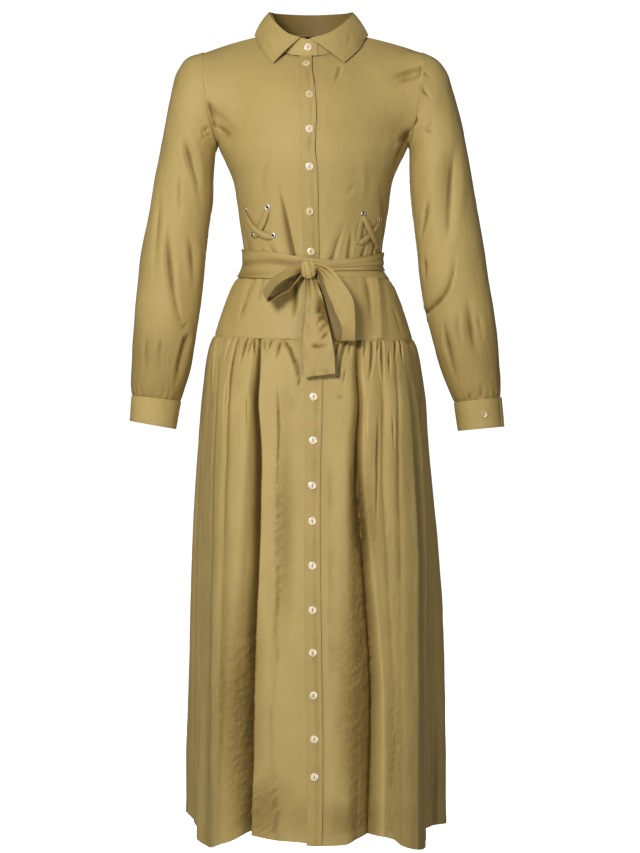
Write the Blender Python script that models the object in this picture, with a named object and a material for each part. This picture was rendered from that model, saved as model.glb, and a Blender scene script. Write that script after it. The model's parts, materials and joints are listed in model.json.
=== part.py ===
# Long shirt dress with a gathered skirt, a tied belt and laced waist sides.
# The front faces -Y, +Z is up, and the origin lies between the two neck points.

import math

import bpy
import numpy as np
from mathutils import Vector
from mathutils.bvhtree import BVHTree

mm = 0.001

# Cloth and seams
cloth_wall = 1.5 * mm
collar_wall = 1.8 * mm
belt_wall = 1.6 * mm
belt_lift = 2.2 * mm
seam_gap = 0.3 * mm

# Heights of the main seams
armpit_height = -176 * mm
waist_height = -395 * mm
hip_height = -491 * mm
hem_height = -1303 * mm

# How far the hip seam dips in front and slants down towards +X
hip_dip = 7 * mm
hip_slant = 3 * mm

# Front opening
placket_half_width = 13 * mm
placket_lift = 0.4 * mm
front_edge_right = 11.5 * mm
front_edge_left = -8 * mm
button_radius = 6.4 * mm
button_thickness = 2.6 * mm

# Eyelets and lacing
eyelet_radius = 4.0 * mm
eyelet_hole = 2.3 * mm
eyelet_height = 1.0 * mm
lace_half_width = 3.2 * mm
lace_wall = 1.1 * mm
label_wall = 0.8 * mm

# Body of the bodice and basque, a row per section, millimetres:
# height, half width, depth in front, depth behind
body_sections = [
    (-176, 156.0, 120, 104),
    (-198, 147.0, 122, 104),
    (-214, 138.5, 122, 102),
    (-231, 132.5, 120, 99),
    (-264, 126.5, 115, 95),
    (-297, 122.0, 109, 92),
    (-330, 117.0, 104, 90),
    (-363, 113.0, 102, 90),
    (-378, 115.5, 103, 92),
    (-387, 120.0, 105, 95),
    (-396, 127.0, 107, 98),
    (-412, 136.0, 111, 104),
    (-429, 143.0, 115, 109),
    (-462, 154.5, 121, 118),
    (-500, 166.0, 126, 125),
]
body_squareness = 2.2

# Skirt, a row per section, millimetres: height, half width of the front panel on
# the -X side, the same on the +X side, half width of the whole, depth in front,
# depth behind, how far back the middle lies, how far to +X it lies
skirt_sections = [
    (-488, 165, 165, 168, 128.5, 127, 0, 0),
    (-512, 167, 167, 174, 136, 134, 2, 0),
    (-545, 168, 167, 182, 143, 141, 5, 0),
    (-578, 170, 169, 188, 149, 147, 8, 1),
    (-611, 171, 171, 192, 154, 151, 11, 1),
    (-660, 174, 174, 196, 161, 155, 15, 1),
    (-743, 178, 177, 204, 171, 159, 20, 2),
    (-842, 180, 178, 213, 181, 162, 24, 4),
    (-941, 183, 177, 219, 188, 164, 28, 5),
    (-1073, 186, 175, 225, 195, 166, 32, 6),
    (-1205, 189, 173, 230, 200, 168, 35, 6),
    (-1320, 190, 172, 231, 203, 169, 36, 6),
]
skirt_front_squareness = 2.8
skirt_back_squareness = 2.3
square_start = -490
square_end = -620
side_turn_start = 68.0
side_turn_end = 104.0

# The folds and gathers fade out beside the button front, degrees from the front
calm_middle = 1.0
calm_start = 5.0
calm_end = 13.0
panel_start_right = 354.5
panel_start_left = 5.5
side_clear = 0.6
held_width = 5 * mm

# Line of the button front, millimetres: height, distance from the middle
front_line = [
    (10, -9), (-35, -9), (-60, -7.5), (-100, -6), (-220, -5.5), (-290, -5), (-360, -3),
    (-450, 0), (-590, 1.4), (-730, -0.8), (-860, -0.8), (-1000, 0), (-1140, 2.2), (-1320, 2.8),
]

# Hem line, a row per direction: degrees from the front towards +X, millimetres up
hem_line = [
    (-180, 14), (-130, 20), (-98, 31), (-80, 24), (-62, 2), (-40, 8), (-20, 1), (0, -2),
    (22, 6), (45, -3), (62, -1), (84, 10), (110, 11), (150, 13), (180, 14),
]

# Rows of the skirt as a share of the way from the hip seam to the hem
skirt_rows = [0.0, 0.018, 0.052, 0.11, 0.21, 0.36, 0.56, 0.78, 1.0]

# Gathers on the front hip seam: place across the front panel, depth in
# millimetres, share of the skirt's length that it runs down
front_gathers = [
    (-0.965, 3.0, 0.12), (-0.84, 2.4, 0.08), (-0.70, 3.4, 0.14), (-0.64, 2.0, 0.05),
    (-0.565, 4.4, 0.30), (-0.50, 2.4, 0.07), (-0.43, 2.8, 0.10), (-0.35, 2.6, 0.12),
    (-0.27, 3.2, 0.16), (-0.19, 2.2, 0.10), (0.26, 2.4, 0.08), (0.32, 2.8, 0.10),
    (0.385, 2.2, 0.07), (0.445, 3.0, 0.12), (0.51, 4.2, 0.28), (0.575, 2.2, 0.07),
    (0.65, 2.8, 0.12), (0.735, 2.6, 0.10), (0.81, 3.4, 0.14), (0.875, 2.2, 0.07),
    (0.93, 3.0, 0.12), (0.975, 2.6, 0.10),
]
back_gather_count = 20
back_gather_wander = 1.1
back_gather_depth = (2.7, 0.8)
back_gather_length = (0.11, 0.05)
wide_gap = 20.0
wide_steps = 10
gather_steps = 4
gather_reach = 8.0

# The cloth bulges between the gathers just below the hip seam: height of the
# bulge, where it is highest and how far it reaches, as shares of the length
gather_puff = 3.0 * mm
puff_middle = 0.03
puff_reach = 0.035
seam_hold = 0.55
seam_hold_end = 0.018
fold_widening = 0.7

# Long folds of the skirt: degrees at the hip seam and at the hem, half width in
# degrees at the hip seam and at the hem, depth in millimetres at the hip seam,
# half way and at the hem
skirt_folds = [
    (-35, -47, 3.0, 8.0, 3, 15, 14),
    (30, 27, 2.6, 7.5, 3, 11, 13),
    (-72, -69, 3.4, 6.5, 3, 9, 13),
    (70, 70, 3.4, 6.0, 4, 12, 17),
    (-15, -19, 2.2, 5.0, 1, 3, 6),
    (49, 47, 2.8, 5.5, 1, 5, 8),
    (97, 100, 3.5, 7.5, 2, 5, 8),
    (118, 122, 3.5, 8.0, 2, 9, 15),
    (141, 145, 3.2, 8.0, 2, 8, 13),
    (163, 167, 3.2, 7.5, 3, 11, 15),
    (-172, -171, 3.0, 7.5, 2, 9, 14),
    (-150, -148, 3.2, 8.0, 3, 11, 15),
    (-128, -125, 3.5, 8.0, 2, 8, 14),
    (-105, -102, 3.5, 7.5, 2, 6, 9),
]

# Neck seam and the fold along the top of the stand, a row per direction:
# degrees from the front, seam height, fold height, millimetres
neck_line = [
    (0, -34, -6), (25, -30, 3), (50, -17, 20), (75, 1, 39), (90, 10, 45.5),
    (120, 14, 47.5), (150, 16, 48.5), (180, 16.5, 48.5),
]
neck_half_width = 70 * mm
neck_front = 60 * mm
neck_back = 62 * mm
fold_half_width = 66.5 * mm
fold_front = 55 * mm
fold_back = 57 * mm
neck_shift = -3.5 * mm
stand_overlap = 13.5
stand_step = 9.0
stand_spread = 1.3 * mm
neck_step = 18.0

# Armhole: lowest point, shoulder tip, and how far it runs forward and back
armpit_point = (156 * mm, 0.0, -176 * mm)
shoulder_tip = (179.5 * mm, 0.0, -20.5 * mm)
armhole_half_depth = 57 * mm
armhole_bow = 8 * mm
chest_bulge = 14 * mm
back_bulge = 19 * mm
shoulder_bulge = 2.5 * mm
neck_share = 0.46
easing_passes = 5
seat_reach = 60 * mm
seat_aside = 2 * mm
forward = np.array([0.0, -1.0, 0.0])

# Half of the turn left open at the side seams of the skirt, degrees
seam_turn = 0.07

# Rows of the basque, rows and columns of the bodice
basque_shares = [0.0, 0.3, 0.62, 1.0]
basque_columns = {"right": 11, "left": 13, "back": 24}
bodice_heights = [
    waist_height + seam_gap / 2, -0.3845, -0.3725, -0.345, -0.305, -0.265, -0.232, -0.203,
    armpit_height,
]
bodice_shares = [0.125, 0.25, 0.375, 0.5, 0.625, 0.75, 0.875, 1.0]
bodice_places = [0.0, 0.092, 0.184, 0.276, 0.368, 0.46, 0.59, 0.73, 0.87, 1.0]

# Sleeves, a row per section, millimetres: inner edge across and up, outer edge
# across and up, half depth, middle forwards
sleeve_sections = {
    "right": [
        (157.6, -180.5, 203.0, -27.2, 57, 0), (159.8, -186.5, 222.0, -49.5, 56.5, 0),
        (161.0, -194, 232.5, -82.5, 56, 0), (162.3, -205, 241.0, -124, 55.5, 0),
        (164.0, -227, 250.0, -173, 55, 0), (165.0, -265, 263.0, -239, 54, 0),
        (169.9, -305, 273.0, -300, 53, -1), (174.9, -350, 282.2, -346, 52, -2),
        (179.8, -399, 288.8, -398, 51, -4), (186.5, -449, 293.7, -445, 49, -6),
        (194.7, -503, 297.0, -498, 47, -9), (202.1, -545, 298.3, -538, 45, -11),
        (211.4, -576, 299.5, -566, 42, -13), (218.0, -595.5, 298.0, -586, 38.5, -14),
    ],
    "left": [
        (158.0, -180.5, 197.5, -27.6, 57, 0), (158.6, -186.5, 219.5, -49.5, 56.5, 0),
        (158.8, -194, 231.0, -82.5, 56, 0), (158.8, -205, 242.5, -124, 55.5, 0),
        (159.2, -227, 252.5, -173, 55, 0), (161.7, -265, 264.8, -239, 54, 0),
        (165.8, -305, 274.7, -300, 53, -1), (170.4, -350, 282.2, -346, 52, -2),
        (175.7, -399, 289.2, -398, 51, -4), (184.3, -449, 297.3, -445, 49, -6),
        (198.8, -503, 304.1, -498, 47, -9), (211.2, -545, 306.5, -538, 45, -11),
        (223.0, -576, 308.5, -566, 42, -13), (232.5, -597.5, 308.5, -589, 38.5, -14),
    ],
}
cuff_sections = {
    "right": [(218.0, -595.9, 298.2, -586.4, 38.5, -14), (226.2, -642, 302.0, -628.5, 36.5, -15)],
    "left": [(232.5, -597.9, 308.7, -589.4, 38.5, -14), (239.4, -645, 312.8, -638, 36.5, -15)],
}
sleeve_squareness = 2.1
sleeve_sides = 16
cuff_sides = 24
cuff_lift = 1.2 * mm
cuff_spiral = -2.8 * mm
cuff_turns = {"right": (200.0, 378.0), "left": (150.0, 378.0)}

# Collar fall, a row per direction: degrees from the front, place across the
# bodice grid and share of the way from the bodice grid's foot up to the neck
collar_edge = [
    (-8.5, 0.285, 0.765), (-35, 0.41, 0.85), (-62, 0.52, 0.94), (-90, 0.58, 1.0),
    (-120, 0.50, 0.95), (-150, 0.27, 0.91), (180, 0.0, 0.90),
    (150, 0.27, 0.91), (120, 0.50, 0.95), (90, 0.58, 1.0),
    (62, 0.52, 0.94), (35, 0.41, 0.85), (3.5, 0.27, 0.775),
]
collar_columns = 36
collar_rows = 4
collar_front = (20, 55)
collar_front_out = 2.0 * mm
collar_spread = 7 * mm
collar_lift = 2.3 * mm
collar_roll = 9 * mm
collar_clear = 0.9 * mm
collar_tilt = (0.25, 0.75, 0.75)

# Belt round the waist: degrees from the front, top height, bottom height
belt_line = [
    (-180, -346, -387), (-90, -346, -390), (-45, -352, -396), (-14, -361, -397),
    (0, -366, -392), (14, -368, -386), (45, -361, -383), (90, -350, -380), (180, -346, -387),
]

belt_columns = 36
belt_shares = (1.0, 0.5, 0.0)
belt_depth_pull = 1.3
belt_front_turn = 16.0

# Strips of the tie, a row per section, millimetres: middle across, back and up,
# then the half width as across, back and up
loop_right = [
    (-22.5, -122, -384, 0, 0, 9), (-36, -129, -390, 4, -2, 15), (-58, -136, -400, 6, -2, 20),
    (-78, -138, -408, 4, -1, 22), (-83, -132, -413, 3, 0, 22), (-76, -125, -415, 2, 0, 20),
    (-56, -121, -408, 3, 0, 17), (-36, -117.5, -399, 2, 0, 12), (-22.5, -115.5, -390, 0, 0, 7),
]
loop_left = [
    (8.9, -122, -383, 0, 0, 9), (27, -133, -399, 12, -3, 11), (40, -140, -424, 15, -2, 9),
    (49, -144, -456, 16, -1, 4), (52, -146, -486, 16, 0, 1), (52, -140, -496, 15, 0, 1),
    (48, -134, -484, 14, 0, 2), (38, -130, -456, 13, 0, 5), (29, -124, -425, 10, 0, 7),
    (8.9, -114.5, -391, 0, 0, 6),
]
tail_over = [
    (-3, -123.5, -401.2, 7, 0, 0), (2, -136, -425, 11, 0, -1), (5, -149, -458, 16, 1, -1),
    (7, -155, -490, 22, 3, -1), (9, -158, -520, 25, 4, -2), (11, -159, -556, 25, 5, 2),
]
tail_under = [
    (-6, -118, -401.2, 7, 0, 0), (-3, -127, -428, 10, 0, 0), (-4, -136, -458, 13, 0, 0),
    (-4, -143, -492, 15, 0, 0), (-3, -148, -524, 16, 0, 0), (-2, -150, -545, 16, 0, 1),
]
strips = {
    "belt_loop_right": (loop_right, 16), "belt_loop_left": (loop_left, 18),
    "belt_tail_over": (tail_over, 7), "belt_tail_under": (tail_under, 7),
}
knot_center = (-7 * mm, -121 * mm, -384 * mm)
knot_half_size = (15 * mm, 9.5 * mm, 17 * mm)
knot_squareness = 2.6
knot_roundness = 0.6
knot_rings = 6
knot_sides = 12

# Buttons down the front, heights in millimetres.  The profile of a button is a
# row per ring: share of its radius, share of its thickness
button_profile = [(0.8, 0.0), (1.0, 0.5), (0.86, 1.0), (0.62, 0.7)]
ring_sides = 8
button_clear = 0.3 * mm
stand_button = -19
stand_button_aside = 1 * mm
stand_button_clear = 0.5 * mm
top_button_aside = -2.5 * mm
button_reach = 4 * mm
cuff_button_out = ((-0.5, 0.85, 0.0), (0.15, -0.98, 0.0))
front_buttons = [
    -47, -101, -158, -219, -291, -355, -431, -513,
    -590, -660, -732, -789, -860, -931, -999, -1067, -1137, -1197,
]

# Eyelets: name, millimetres across and up
eyelet_clear = 0.8 * mm
eyelets = [
    ("right_1", -109.0, -284.0), ("right_2", -73.7, -282.6),
    ("right_3", -64.7, -328.2), ("right_4", -97.9, -325.4),
    ("left_1", 81.2, -292.1), ("left_2", 109.0, -299.4),
    ("left_3", 73.2, -337.7), ("left_4", 107.4, -345.7),
]

# Label: distances from the middle in millimetres, heights as shares of the top
# row of the bodice grid
label_distances = (-9, -4.5, 0, 4.5, 9)
label_heights = (0.45, 0.88)

# Lacing: name, first end, last end (across, up), sag across and up, lift, millimetres
laces = [
    ("right_under", (-76.5, -287), (-95.0, -321), (2, -4), 0.0),
    ("right_over", (-106.0, -288.5), (-68.5, -325), (-2, -5), 2.3),
    ("left_under", (105.5, -303), (77.5, -334.5), (2, -2), 0.0),
    ("left_over", (84.5, -296), (103.5, -341.5), (-1, -4), 2.3),
]
lace_steps = 7
lace_clear = 0.6 * mm

# Dress cloth, buttons, eyelets and label
slots = {
    "dress_cloth": ((0.46, 0.36, 0.16), 0.0, 0.62),
    "shell_button": ((0.72, 0.62, 0.50), 0.0, 0.25),
    "eyelet_metal": ((0.72, 0.70, 0.68), 1.0, 0.25),
    "label_cloth": ((0.012, 0.012, 0.014), 0.0, 0.8),
}


def clear_scene():
    for item in list(bpy.data.objects):
        bpy.data.objects.remove(item, do_unlink=True)


def make_material(name):
    color, metal, rough = slots[name]
    material = bpy.data.materials.new(name)
    material.use_nodes = True
    shader = material.node_tree.nodes["Principled BSDF"]
    shader.inputs["Base Color"].default_value = (*color, 1.0)
    shader.inputs["Metallic"].default_value = metal
    shader.inputs["Roughness"].default_value = rough
    material.diffuse_color = (*color, 1.0)
    return material


def curve(table, column, where):
    """Smooth value of one column of a table that runs along its first column."""
    rows = sorted(table)
    keys = [row[0] for row in rows]
    values = [row[column] for row in rows]
    if where <= keys[0]:
        return values[0]
    if where >= keys[-1]:
        return values[-1]
    spot = max(index for index, key in enumerate(keys) if key <= where)

    def slope(index):
        low, high = max(index - 1, 0), min(index + 1, len(keys) - 1)
        return (values[high] - values[low]) / (keys[high] - keys[low])

    step = keys[spot + 1] - keys[spot]
    t = (where - keys[spot]) / step
    return (
        (2 * t**3 - 3 * t**2 + 1) * values[spot]
        + (t**3 - 2 * t**2 + t) * step * slope(spot)
        + (3 * t**2 - 2 * t**3) * values[spot + 1]
        + (t**3 - t**2) * step * slope(spot + 1)
    )


def ease(low, high, value):
    t = min(max((value - low) / (high - low), 0.0), 1.0)
    return t * t * (3 - 2 * t)


def power(value, squareness):
    return math.copysign(abs(value) ** (2 / squareness), value)


def front_offset(height):
    return curve(front_line, 1, height / mm) * mm


def body_point(height, turn):
    """Point of the bodice or basque: turn is degrees from the front towards +X."""
    key = height / mm
    angle = math.radians(turn)
    depth = curve(body_sections, 2 if math.cos(angle) > 0 else 3, key) * mm
    across = curve(body_sections, 1, key) * mm * power(math.sin(angle), body_squareness)
    pull = front_offset(height) * max(math.cos(angle), 0.0) ** 2
    return np.array([across + pull, -depth * power(math.cos(angle), body_squareness), height])


def hip_seam(turn):
    angle = math.radians(turn)
    return hip_height - hip_dip * max(math.cos(angle), 0.0) - hip_slant * math.sin(angle)


def skirt_squareness(key, ahead):
    squareness = skirt_front_squareness if ahead else skirt_back_squareness
    return body_squareness + (squareness - body_squareness) * ease(square_start, square_end, key)


def skirt_base(height, turn):
    key = height / mm
    angle = math.radians(turn)
    front = curve(skirt_sections, 1 if turn < 0 else 2, key)
    share = ease(side_turn_start, side_turn_end, abs(turn))
    half = (front + (curve(skirt_sections, 3, key) - front) * share) * mm
    ahead = math.cos(angle) > 0
    blend = skirt_squareness(key, ahead)
    depth = curve(skirt_sections, 4 if ahead else 5, key) * mm
    pull = front_offset(height) * max(math.cos(angle), 0.0) ** 2
    side = curve(skirt_sections, 7, key) * mm * abs(math.sin(angle))
    return np.array([
        half * power(math.sin(angle), blend) + pull + side,
        curve(skirt_sections, 6, key) * mm - depth * power(math.cos(angle), blend),
        height,
    ])


def turned(value):
    return (value + 180.0) % 360.0 - 180.0


def fold_depth(turn, share):
    """How far the long folds pull the skirt in, at a share of the way down."""
    total = 0.0
    for top, foot, thin, wide, at_top, middle, at_foot in skirt_folds:
        center = top + turned(foot - top) * share
        width = thin + (wide - thin) * share**fold_widening
        depth = curve([(0.0, at_top), (0.5, middle), (1.0, at_foot)], 1, share) * mm
        away = turned(turn - center) / width
        total += depth * math.exp(-away * away)
    return total


def turn_across(place):
    return math.degrees(math.copysign(math.asin(abs(place) ** (body_squareness / 2)), place))


def gather_list():
    """All gathers as (turn, depth, length), sorted round the hip seam."""
    rows = [(turn_across(place), depth * mm, length) for place, depth, length in front_gathers]
    middle_depth, more_depth = back_gather_depth
    middle_length, more_length = back_gather_length
    for index in range(back_gather_count):
        share = (index + 0.5) / back_gather_count
        wander = math.sin(index * 2.4) * back_gather_wander
        depth = (middle_depth + more_depth * math.sin(index * 1.7)) * mm
        length = middle_length + more_length * math.sin(index * 2.9)
        rows.append((90 + 180 * share + wander, depth, length))
    return sorted((row[0] % 360.0, row[1], row[2]) for row in rows)


def skirt_columns():
    """Columns of the skirt: (turn, share of a full gather's depth, depth, length)."""
    gathers = gather_list()
    columns = []
    for index, (turn, depth, length) in enumerate(gathers):
        after, next_depth, next_length = gathers[(index + 1) % len(gathers)]
        gap = (after - turn) % 360.0
        wide = gap > wide_gap
        steps = wide_steps if wide else gather_steps
        for step in range(steps):
            phase = step / steps
            near = (depth, length) if phase < 0.5 else (next_depth, next_length)
            reach = min(phase, 1 - phase) * (gap / gather_reach if wide else 1.0)
            strength = 0.5 + 0.5 * math.cos(2 * math.pi * min(reach, 0.5))
            columns.append((turned(turn + gap * phase), strength, *near))
    return columns


def skirt_front_turn(height, distance):
    """Turn of the skirt front at a distance from its middle."""
    key = height / mm
    half = curve(skirt_sections, 1 if distance < 0 else 2, key) * mm
    blend = skirt_squareness(key, True)
    return math.copysign(math.degrees(math.asin((abs(distance) / half) ** (blend / 2))), distance)


def held_column(distance):
    """Plain column that keeps its distance from the middle all the way down."""
    return (0.0, 0.0, 0.0, 1.0, distance)


def skirt_point(share, column):
    turn, strength, depth, length = column[:4]
    top = hip_seam(turn) - seam_gap / 2
    foot = hem_height + curve(hem_line, 1, turn) * mm
    height = top + (foot - top) * share
    if len(column) > 4:
        turn = skirt_front_turn(height, column[4])
    here = skirt_base(height, turn)
    beside = skirt_base(height, turn + 0.5) - skirt_base(height, turn - 0.5)
    outward = np.array([beside[1], -beside[0], 0.0])
    outward /= np.linalg.norm(outward)
    facing = outward[0] * math.sin(math.radians(turn)) - outward[1] * math.cos(math.radians(turn))
    outward *= math.copysign(1.0, facing)
    quiet = ease(calm_start, calm_end, abs(turn - calm_middle))
    held = seam_hold + (1 - seam_hold) * ease(0, seam_hold_end, share)
    gather = depth * strength * math.exp(-(share / length) ** 2) * held
    puff = gather_puff * math.exp(-((share - puff_middle) / puff_reach) ** 2) * (1 - strength)
    inward = (gather - puff + fold_depth(turn, share)) * quiet
    return here - outward * inward


def armhole_point(side, turn):
    """Armhole seam: turn 0 at the armpit, 90 in front, 180 at the tip, 270 behind."""
    angle = math.radians(turn)
    low, high = np.array(armpit_point), np.array(shoulder_tip)
    middle, reach = (low + high) / 2, (low - high) / 2
    point = middle + reach * math.cos(angle)
    point[1] = -armhole_half_depth * math.sin(angle)
    point[0] += armhole_bow * math.sin(angle) ** 2
    return np.array([point[0] * side, point[1], point[2]])


def neck_point(turn, column, half, front, back):
    angle = math.radians(turn)
    depth = front if math.cos(angle) > 0 else back
    shift = neck_shift + (front_offset(-0.03) - neck_shift) * max(math.cos(angle), 0.0) ** 2
    place = abs(turned(turn)) / neck_step
    near = math.floor(place)
    low, high = (curve(neck_line, column, min(step * neck_step, 180.0)) for step in (near, near + 1))
    height = (low + (high - low) * (place - near)) * mm
    return np.array([half * math.sin(angle) + shift, -depth * math.cos(angle), height])


def seam_base(turn):
    return neck_point(turn, 1, neck_half_width, neck_front, neck_back)


def stand_fold(turn):
    return neck_point(turn, 2, fold_half_width, fold_front, fold_back)


def edge_turn(height, distance):
    half = curve(body_sections, 1, height / mm) * mm
    return math.degrees(math.asin((distance / half) ** (body_squareness / 2)))


def side_turn(height, back):
    depth = curve(body_sections, 3 if back else 2, height / mm) * mm
    return math.degrees(math.acos((seam_gap / 2 / depth) ** (body_squareness / 2)))


def center_point(back, share):
    """Middle line of the bodice from armpit level up to the neck seam."""
    foot = body_point(armpit_height, 180 if back else 0)
    top = seam_base(180 if back else 0) - np.array([0.0, 0.0, seam_gap])
    bulge = back_bulge if back else chest_bulge
    outward = np.array([0.0, bulge if back else -bulge, 0.25 * bulge])
    return foot + (top - foot) * share + outward * 4 * share * (1 - share)


def shoulder_point(side, across):
    """Top of the bodice: the neck seam, then the shoulder seam out to the tip."""
    if across <= neck_share:
        return seam_base(90 * across / neck_share * side) - np.array([0.0, 0.0, seam_gap])
    inner = seam_base(90 * side) - np.array([0.0, 0.0, seam_gap])
    share = (across - neck_share) / (1 - neck_share)
    outer = armhole_point(side, 180)
    rise = shoulder_bulge * 4 * share * (1 - share)
    spot = inner + (outer - inner) * share + np.array([0.0, 0.0, rise])
    spot[1] = inner[1] * (1 - share)
    return spot


def upper_point(side, back, across, share):
    """Bodice above the armpit: across 0 at the middle to 1 at the armhole."""
    limit = side_turn(armpit_height, back)

    def foot_point(place):
        turn = limit * place
        return body_point(armpit_height, (180 - turn if back else turn) * side)

    def top_point(place):
        if back and place <= neck_share:
            turn = 180 - 90 * place / neck_share
            return seam_base(turn * side) - np.array([0.0, 0.0, seam_gap])
        return shoulder_point(side, place)

    def armhole_edge(height):
        return armhole_point(side, (360 - 180 * height) if back else 180 * height)

    corners = foot_point(0.0), foot_point(1.0), top_point(0.0), top_point(1.0)
    ruled = foot_point(across) * (1 - share) + top_point(across) * share
    blend = across**1.5
    swept = center_point(back, share) * (1 - blend) + armhole_edge(share) * blend
    flat = (corners[0] * (1 - blend) + corners[1] * blend) * (1 - share)
    flat = flat + (corners[2] * (1 - blend) + corners[3] * blend) * share
    point = ruled + swept - flat
    if across >= neck_share:
        point[1] += (seam_gap / 2) * (1 if back else -1) * ease(0.9, 1.0, share)
    return point


def make_solid(name, points, faces, wall, slot, lift=0.0, flat=(), drop=()):
    """Give an open sheet a wall: its outer side is lifted, its inner one lies a wall below.

    Faces wind outwards.  flat lists (points, axis) whose wall must not lean along the
    axis, and drop lists the points that only steer the wall at a seam.
    """
    points = np.array(points)
    normals = np.zeros_like(points)
    for face in faces:
        corners = points[list(face)]
        crossed = np.cross(corners[2] - corners[0], corners[-1] - corners[1])
        for index in face:
            normals[index] += crossed
    normals /= np.linalg.norm(normals, axis=1)[:, None]
    for chosen, axis in flat:
        axis = np.array(axis) / np.linalg.norm(axis)
        for index in chosen:
            normals[index] -= axis * (normals[index] @ axis)
            normals[index] /= np.linalg.norm(normals[index])
    gone = set(drop)
    kept = [index for index in range(len(points)) if index not in gone]
    number = {index: place for place, index in enumerate(kept)}
    faces = [tuple(number[index] for index in face) for face in faces if not gone & set(face)]
    outer = points[kept] + normals[kept] * lift
    inner = outer - normals[kept] * wall
    count = len(outer)
    edges = {(a, b) for face in faces for a, b in zip(face, face[1:] + face[:1])}
    faces = [half for face in faces for half in halves(face, outer)]
    every = list(faces)
    every += [tuple(index + count for index in reversed(face)) for face in faces]
    every += [(b, a, a + count, b + count) for a, b in sorted(edges) if (b, a) not in edges]
    return make_object(name, np.vstack([outer, inner]), every, slot)


def halves(face, points):
    """Split a four sided face along its shorter diagonal."""
    a, b, c, d = face
    if np.linalg.norm(points[a] - points[c]) <= np.linalg.norm(points[b] - points[d]):
        return [(a, b, c), (a, c, d)]
    return [(a, b, d), (b, c, d)]


def make_object(name, points, faces, slot, smooth=True):
    mesh = bpy.data.meshes.new(name)
    mesh.from_pydata([tuple(map(float, point)) for point in points], [], [list(f) for f in faces])
    mesh.materials.append(bpy.data.materials[slot])
    mesh.polygons.foreach_set("use_smooth", [smooth] * len(mesh.polygons))
    mesh.update()
    item = bpy.data.objects.new(name, mesh)
    bpy.context.scene.collection.objects.link(item)
    return item


def grid_faces(rows, columns, closed=False, flip=False, start=0):
    faces = []
    for row in range(rows - 1):
        for column in range(columns if closed else columns - 1):
            beside = (column + 1) % columns
            face = (
                start + row * columns + column, start + row * columns + beside,
                start + (row + 1) * columns + beside, start + (row + 1) * columns + column,
            )
            faces.append(face[::-1] if flip else face)
    return faces


def make_grid_solid(name, rows, wall, slot, closed=False, flip=False, lift=0.0, ghosts=False,
                    foot=None, top=None):
    """Solid from rows of points: rows go up, columns go anticlockwise seen from above.

    With ghosts the first and last columns only steer the wall.  foot and top are the
    axes of the seams below and above.
    """
    width, height = len(rows[0]), len(rows)
    points = [point for row in rows for point in row]
    faces = grid_faces(height, width, closed, flip)
    flat = []
    if foot is not None:
        flat.append((range(width), foot))
    if top is not None:
        flat.append((range((height - 1) * width, height * width), top))
    ends = (0, width - 1) if ghosts else ()
    drop = [row * width + column for row in range(height) for column in ends]
    return make_solid(name, points, faces, wall, slot, lift, flat, drop)


def half_rows(side, back):
    """Rows of one half of the bodice from its middle to the side, eased above the armpit."""
    rows = []
    for height in bodice_heights:
        limit = side_turn(height, back)
        turns = [limit * place for place in bodice_places]
        rows.append([body_point(height, (180 - turn if back else turn) * side) for turn in turns])
    upper = [[upper_point(side, back, place, share) for place in bodice_places]
             for share in bodice_shares]
    for _ in range(easing_passes):
        rows_now = [rows[-1]] + upper
        for level in range(len(upper) - 1):
            row, above, below = upper[level], upper[level + 1], rows_now[level]
            inside = [
                row[index] * 0.4 + (row[index - 1] + row[index + 1]) * 0.2
                + (above[index] + below[index]) * 0.1
                for index in range(1, len(row) - 1)
            ]
            upper[level] = [row[0]] + inside + [row[-1]]
    return rows + upper


def beside_middle(row, distance):
    """Point of a row at a distance from its first point."""
    step = row[1] - row[0]
    return row[0] + step * distance / np.linalg.norm(step)


def bodice_rows(side, edge):
    """Rows of a front panel from its front edge, which may lie past the middle."""
    rows = []
    for here, other in zip(half_rows(side, False), half_rows(-side, False)):
        if edge > 0:
            rows.append([beside_middle(here, edge)] + here[1:])
        else:
            rows.append([beside_middle(other, -edge)] + here)
    return rows


def make_bodice():
    up, along = (0.0, 0.0, 1.0), (0.0, 1.0, 0.0)
    low_rows, height = len(bodice_heights), len(bodice_heights) + len(bodice_shares)
    beyond_neck = sum(place >= neck_share for place in bodice_places)
    for name, side, edge in (("right", -1, front_edge_right), ("left", 1, front_edge_left)):
        rows = bodice_rows(side, edge)
        width = len(rows[0])
        points = [point for row in rows for point in row]
        faces = grid_faces(height, width, flip=side < 0)
        low = [row * width + width - 1 for row in range(low_rows)]
        high = [height * width - 1 - step for step in range(beyond_neck)]
        flat = [(range(width), up), (low, along), (high, along)]
        make_solid("bodice_front_" + name, points, faces, cloth_wall, "dress_cloth", flat=flat)
    left, right = half_rows(1, True), half_rows(-1, True)
    rows = [a[::-1] + b[1:] for a, b in zip(left, right)]
    points = [point for row in rows for point in row]
    wide = len(rows[0])
    faces = grid_faces(height, wide)
    low = [row * wide + column for row in range(low_rows) for column in (0, wide - 1)]
    high = [(height - 1) * wide + column for column in range(wide)
            if min(column, wide - 1 - column) < beyond_neck]
    flat = [(range(wide), up), (low, along), (high, along)]
    make_solid("bodice_back", points, faces, cloth_wall, "dress_cloth", flat=flat)


def basque_height(share, turn):
    low, high = hip_seam(turn) + seam_gap / 2, waist_height - seam_gap / 2
    return low + (high - low) * share


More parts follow.
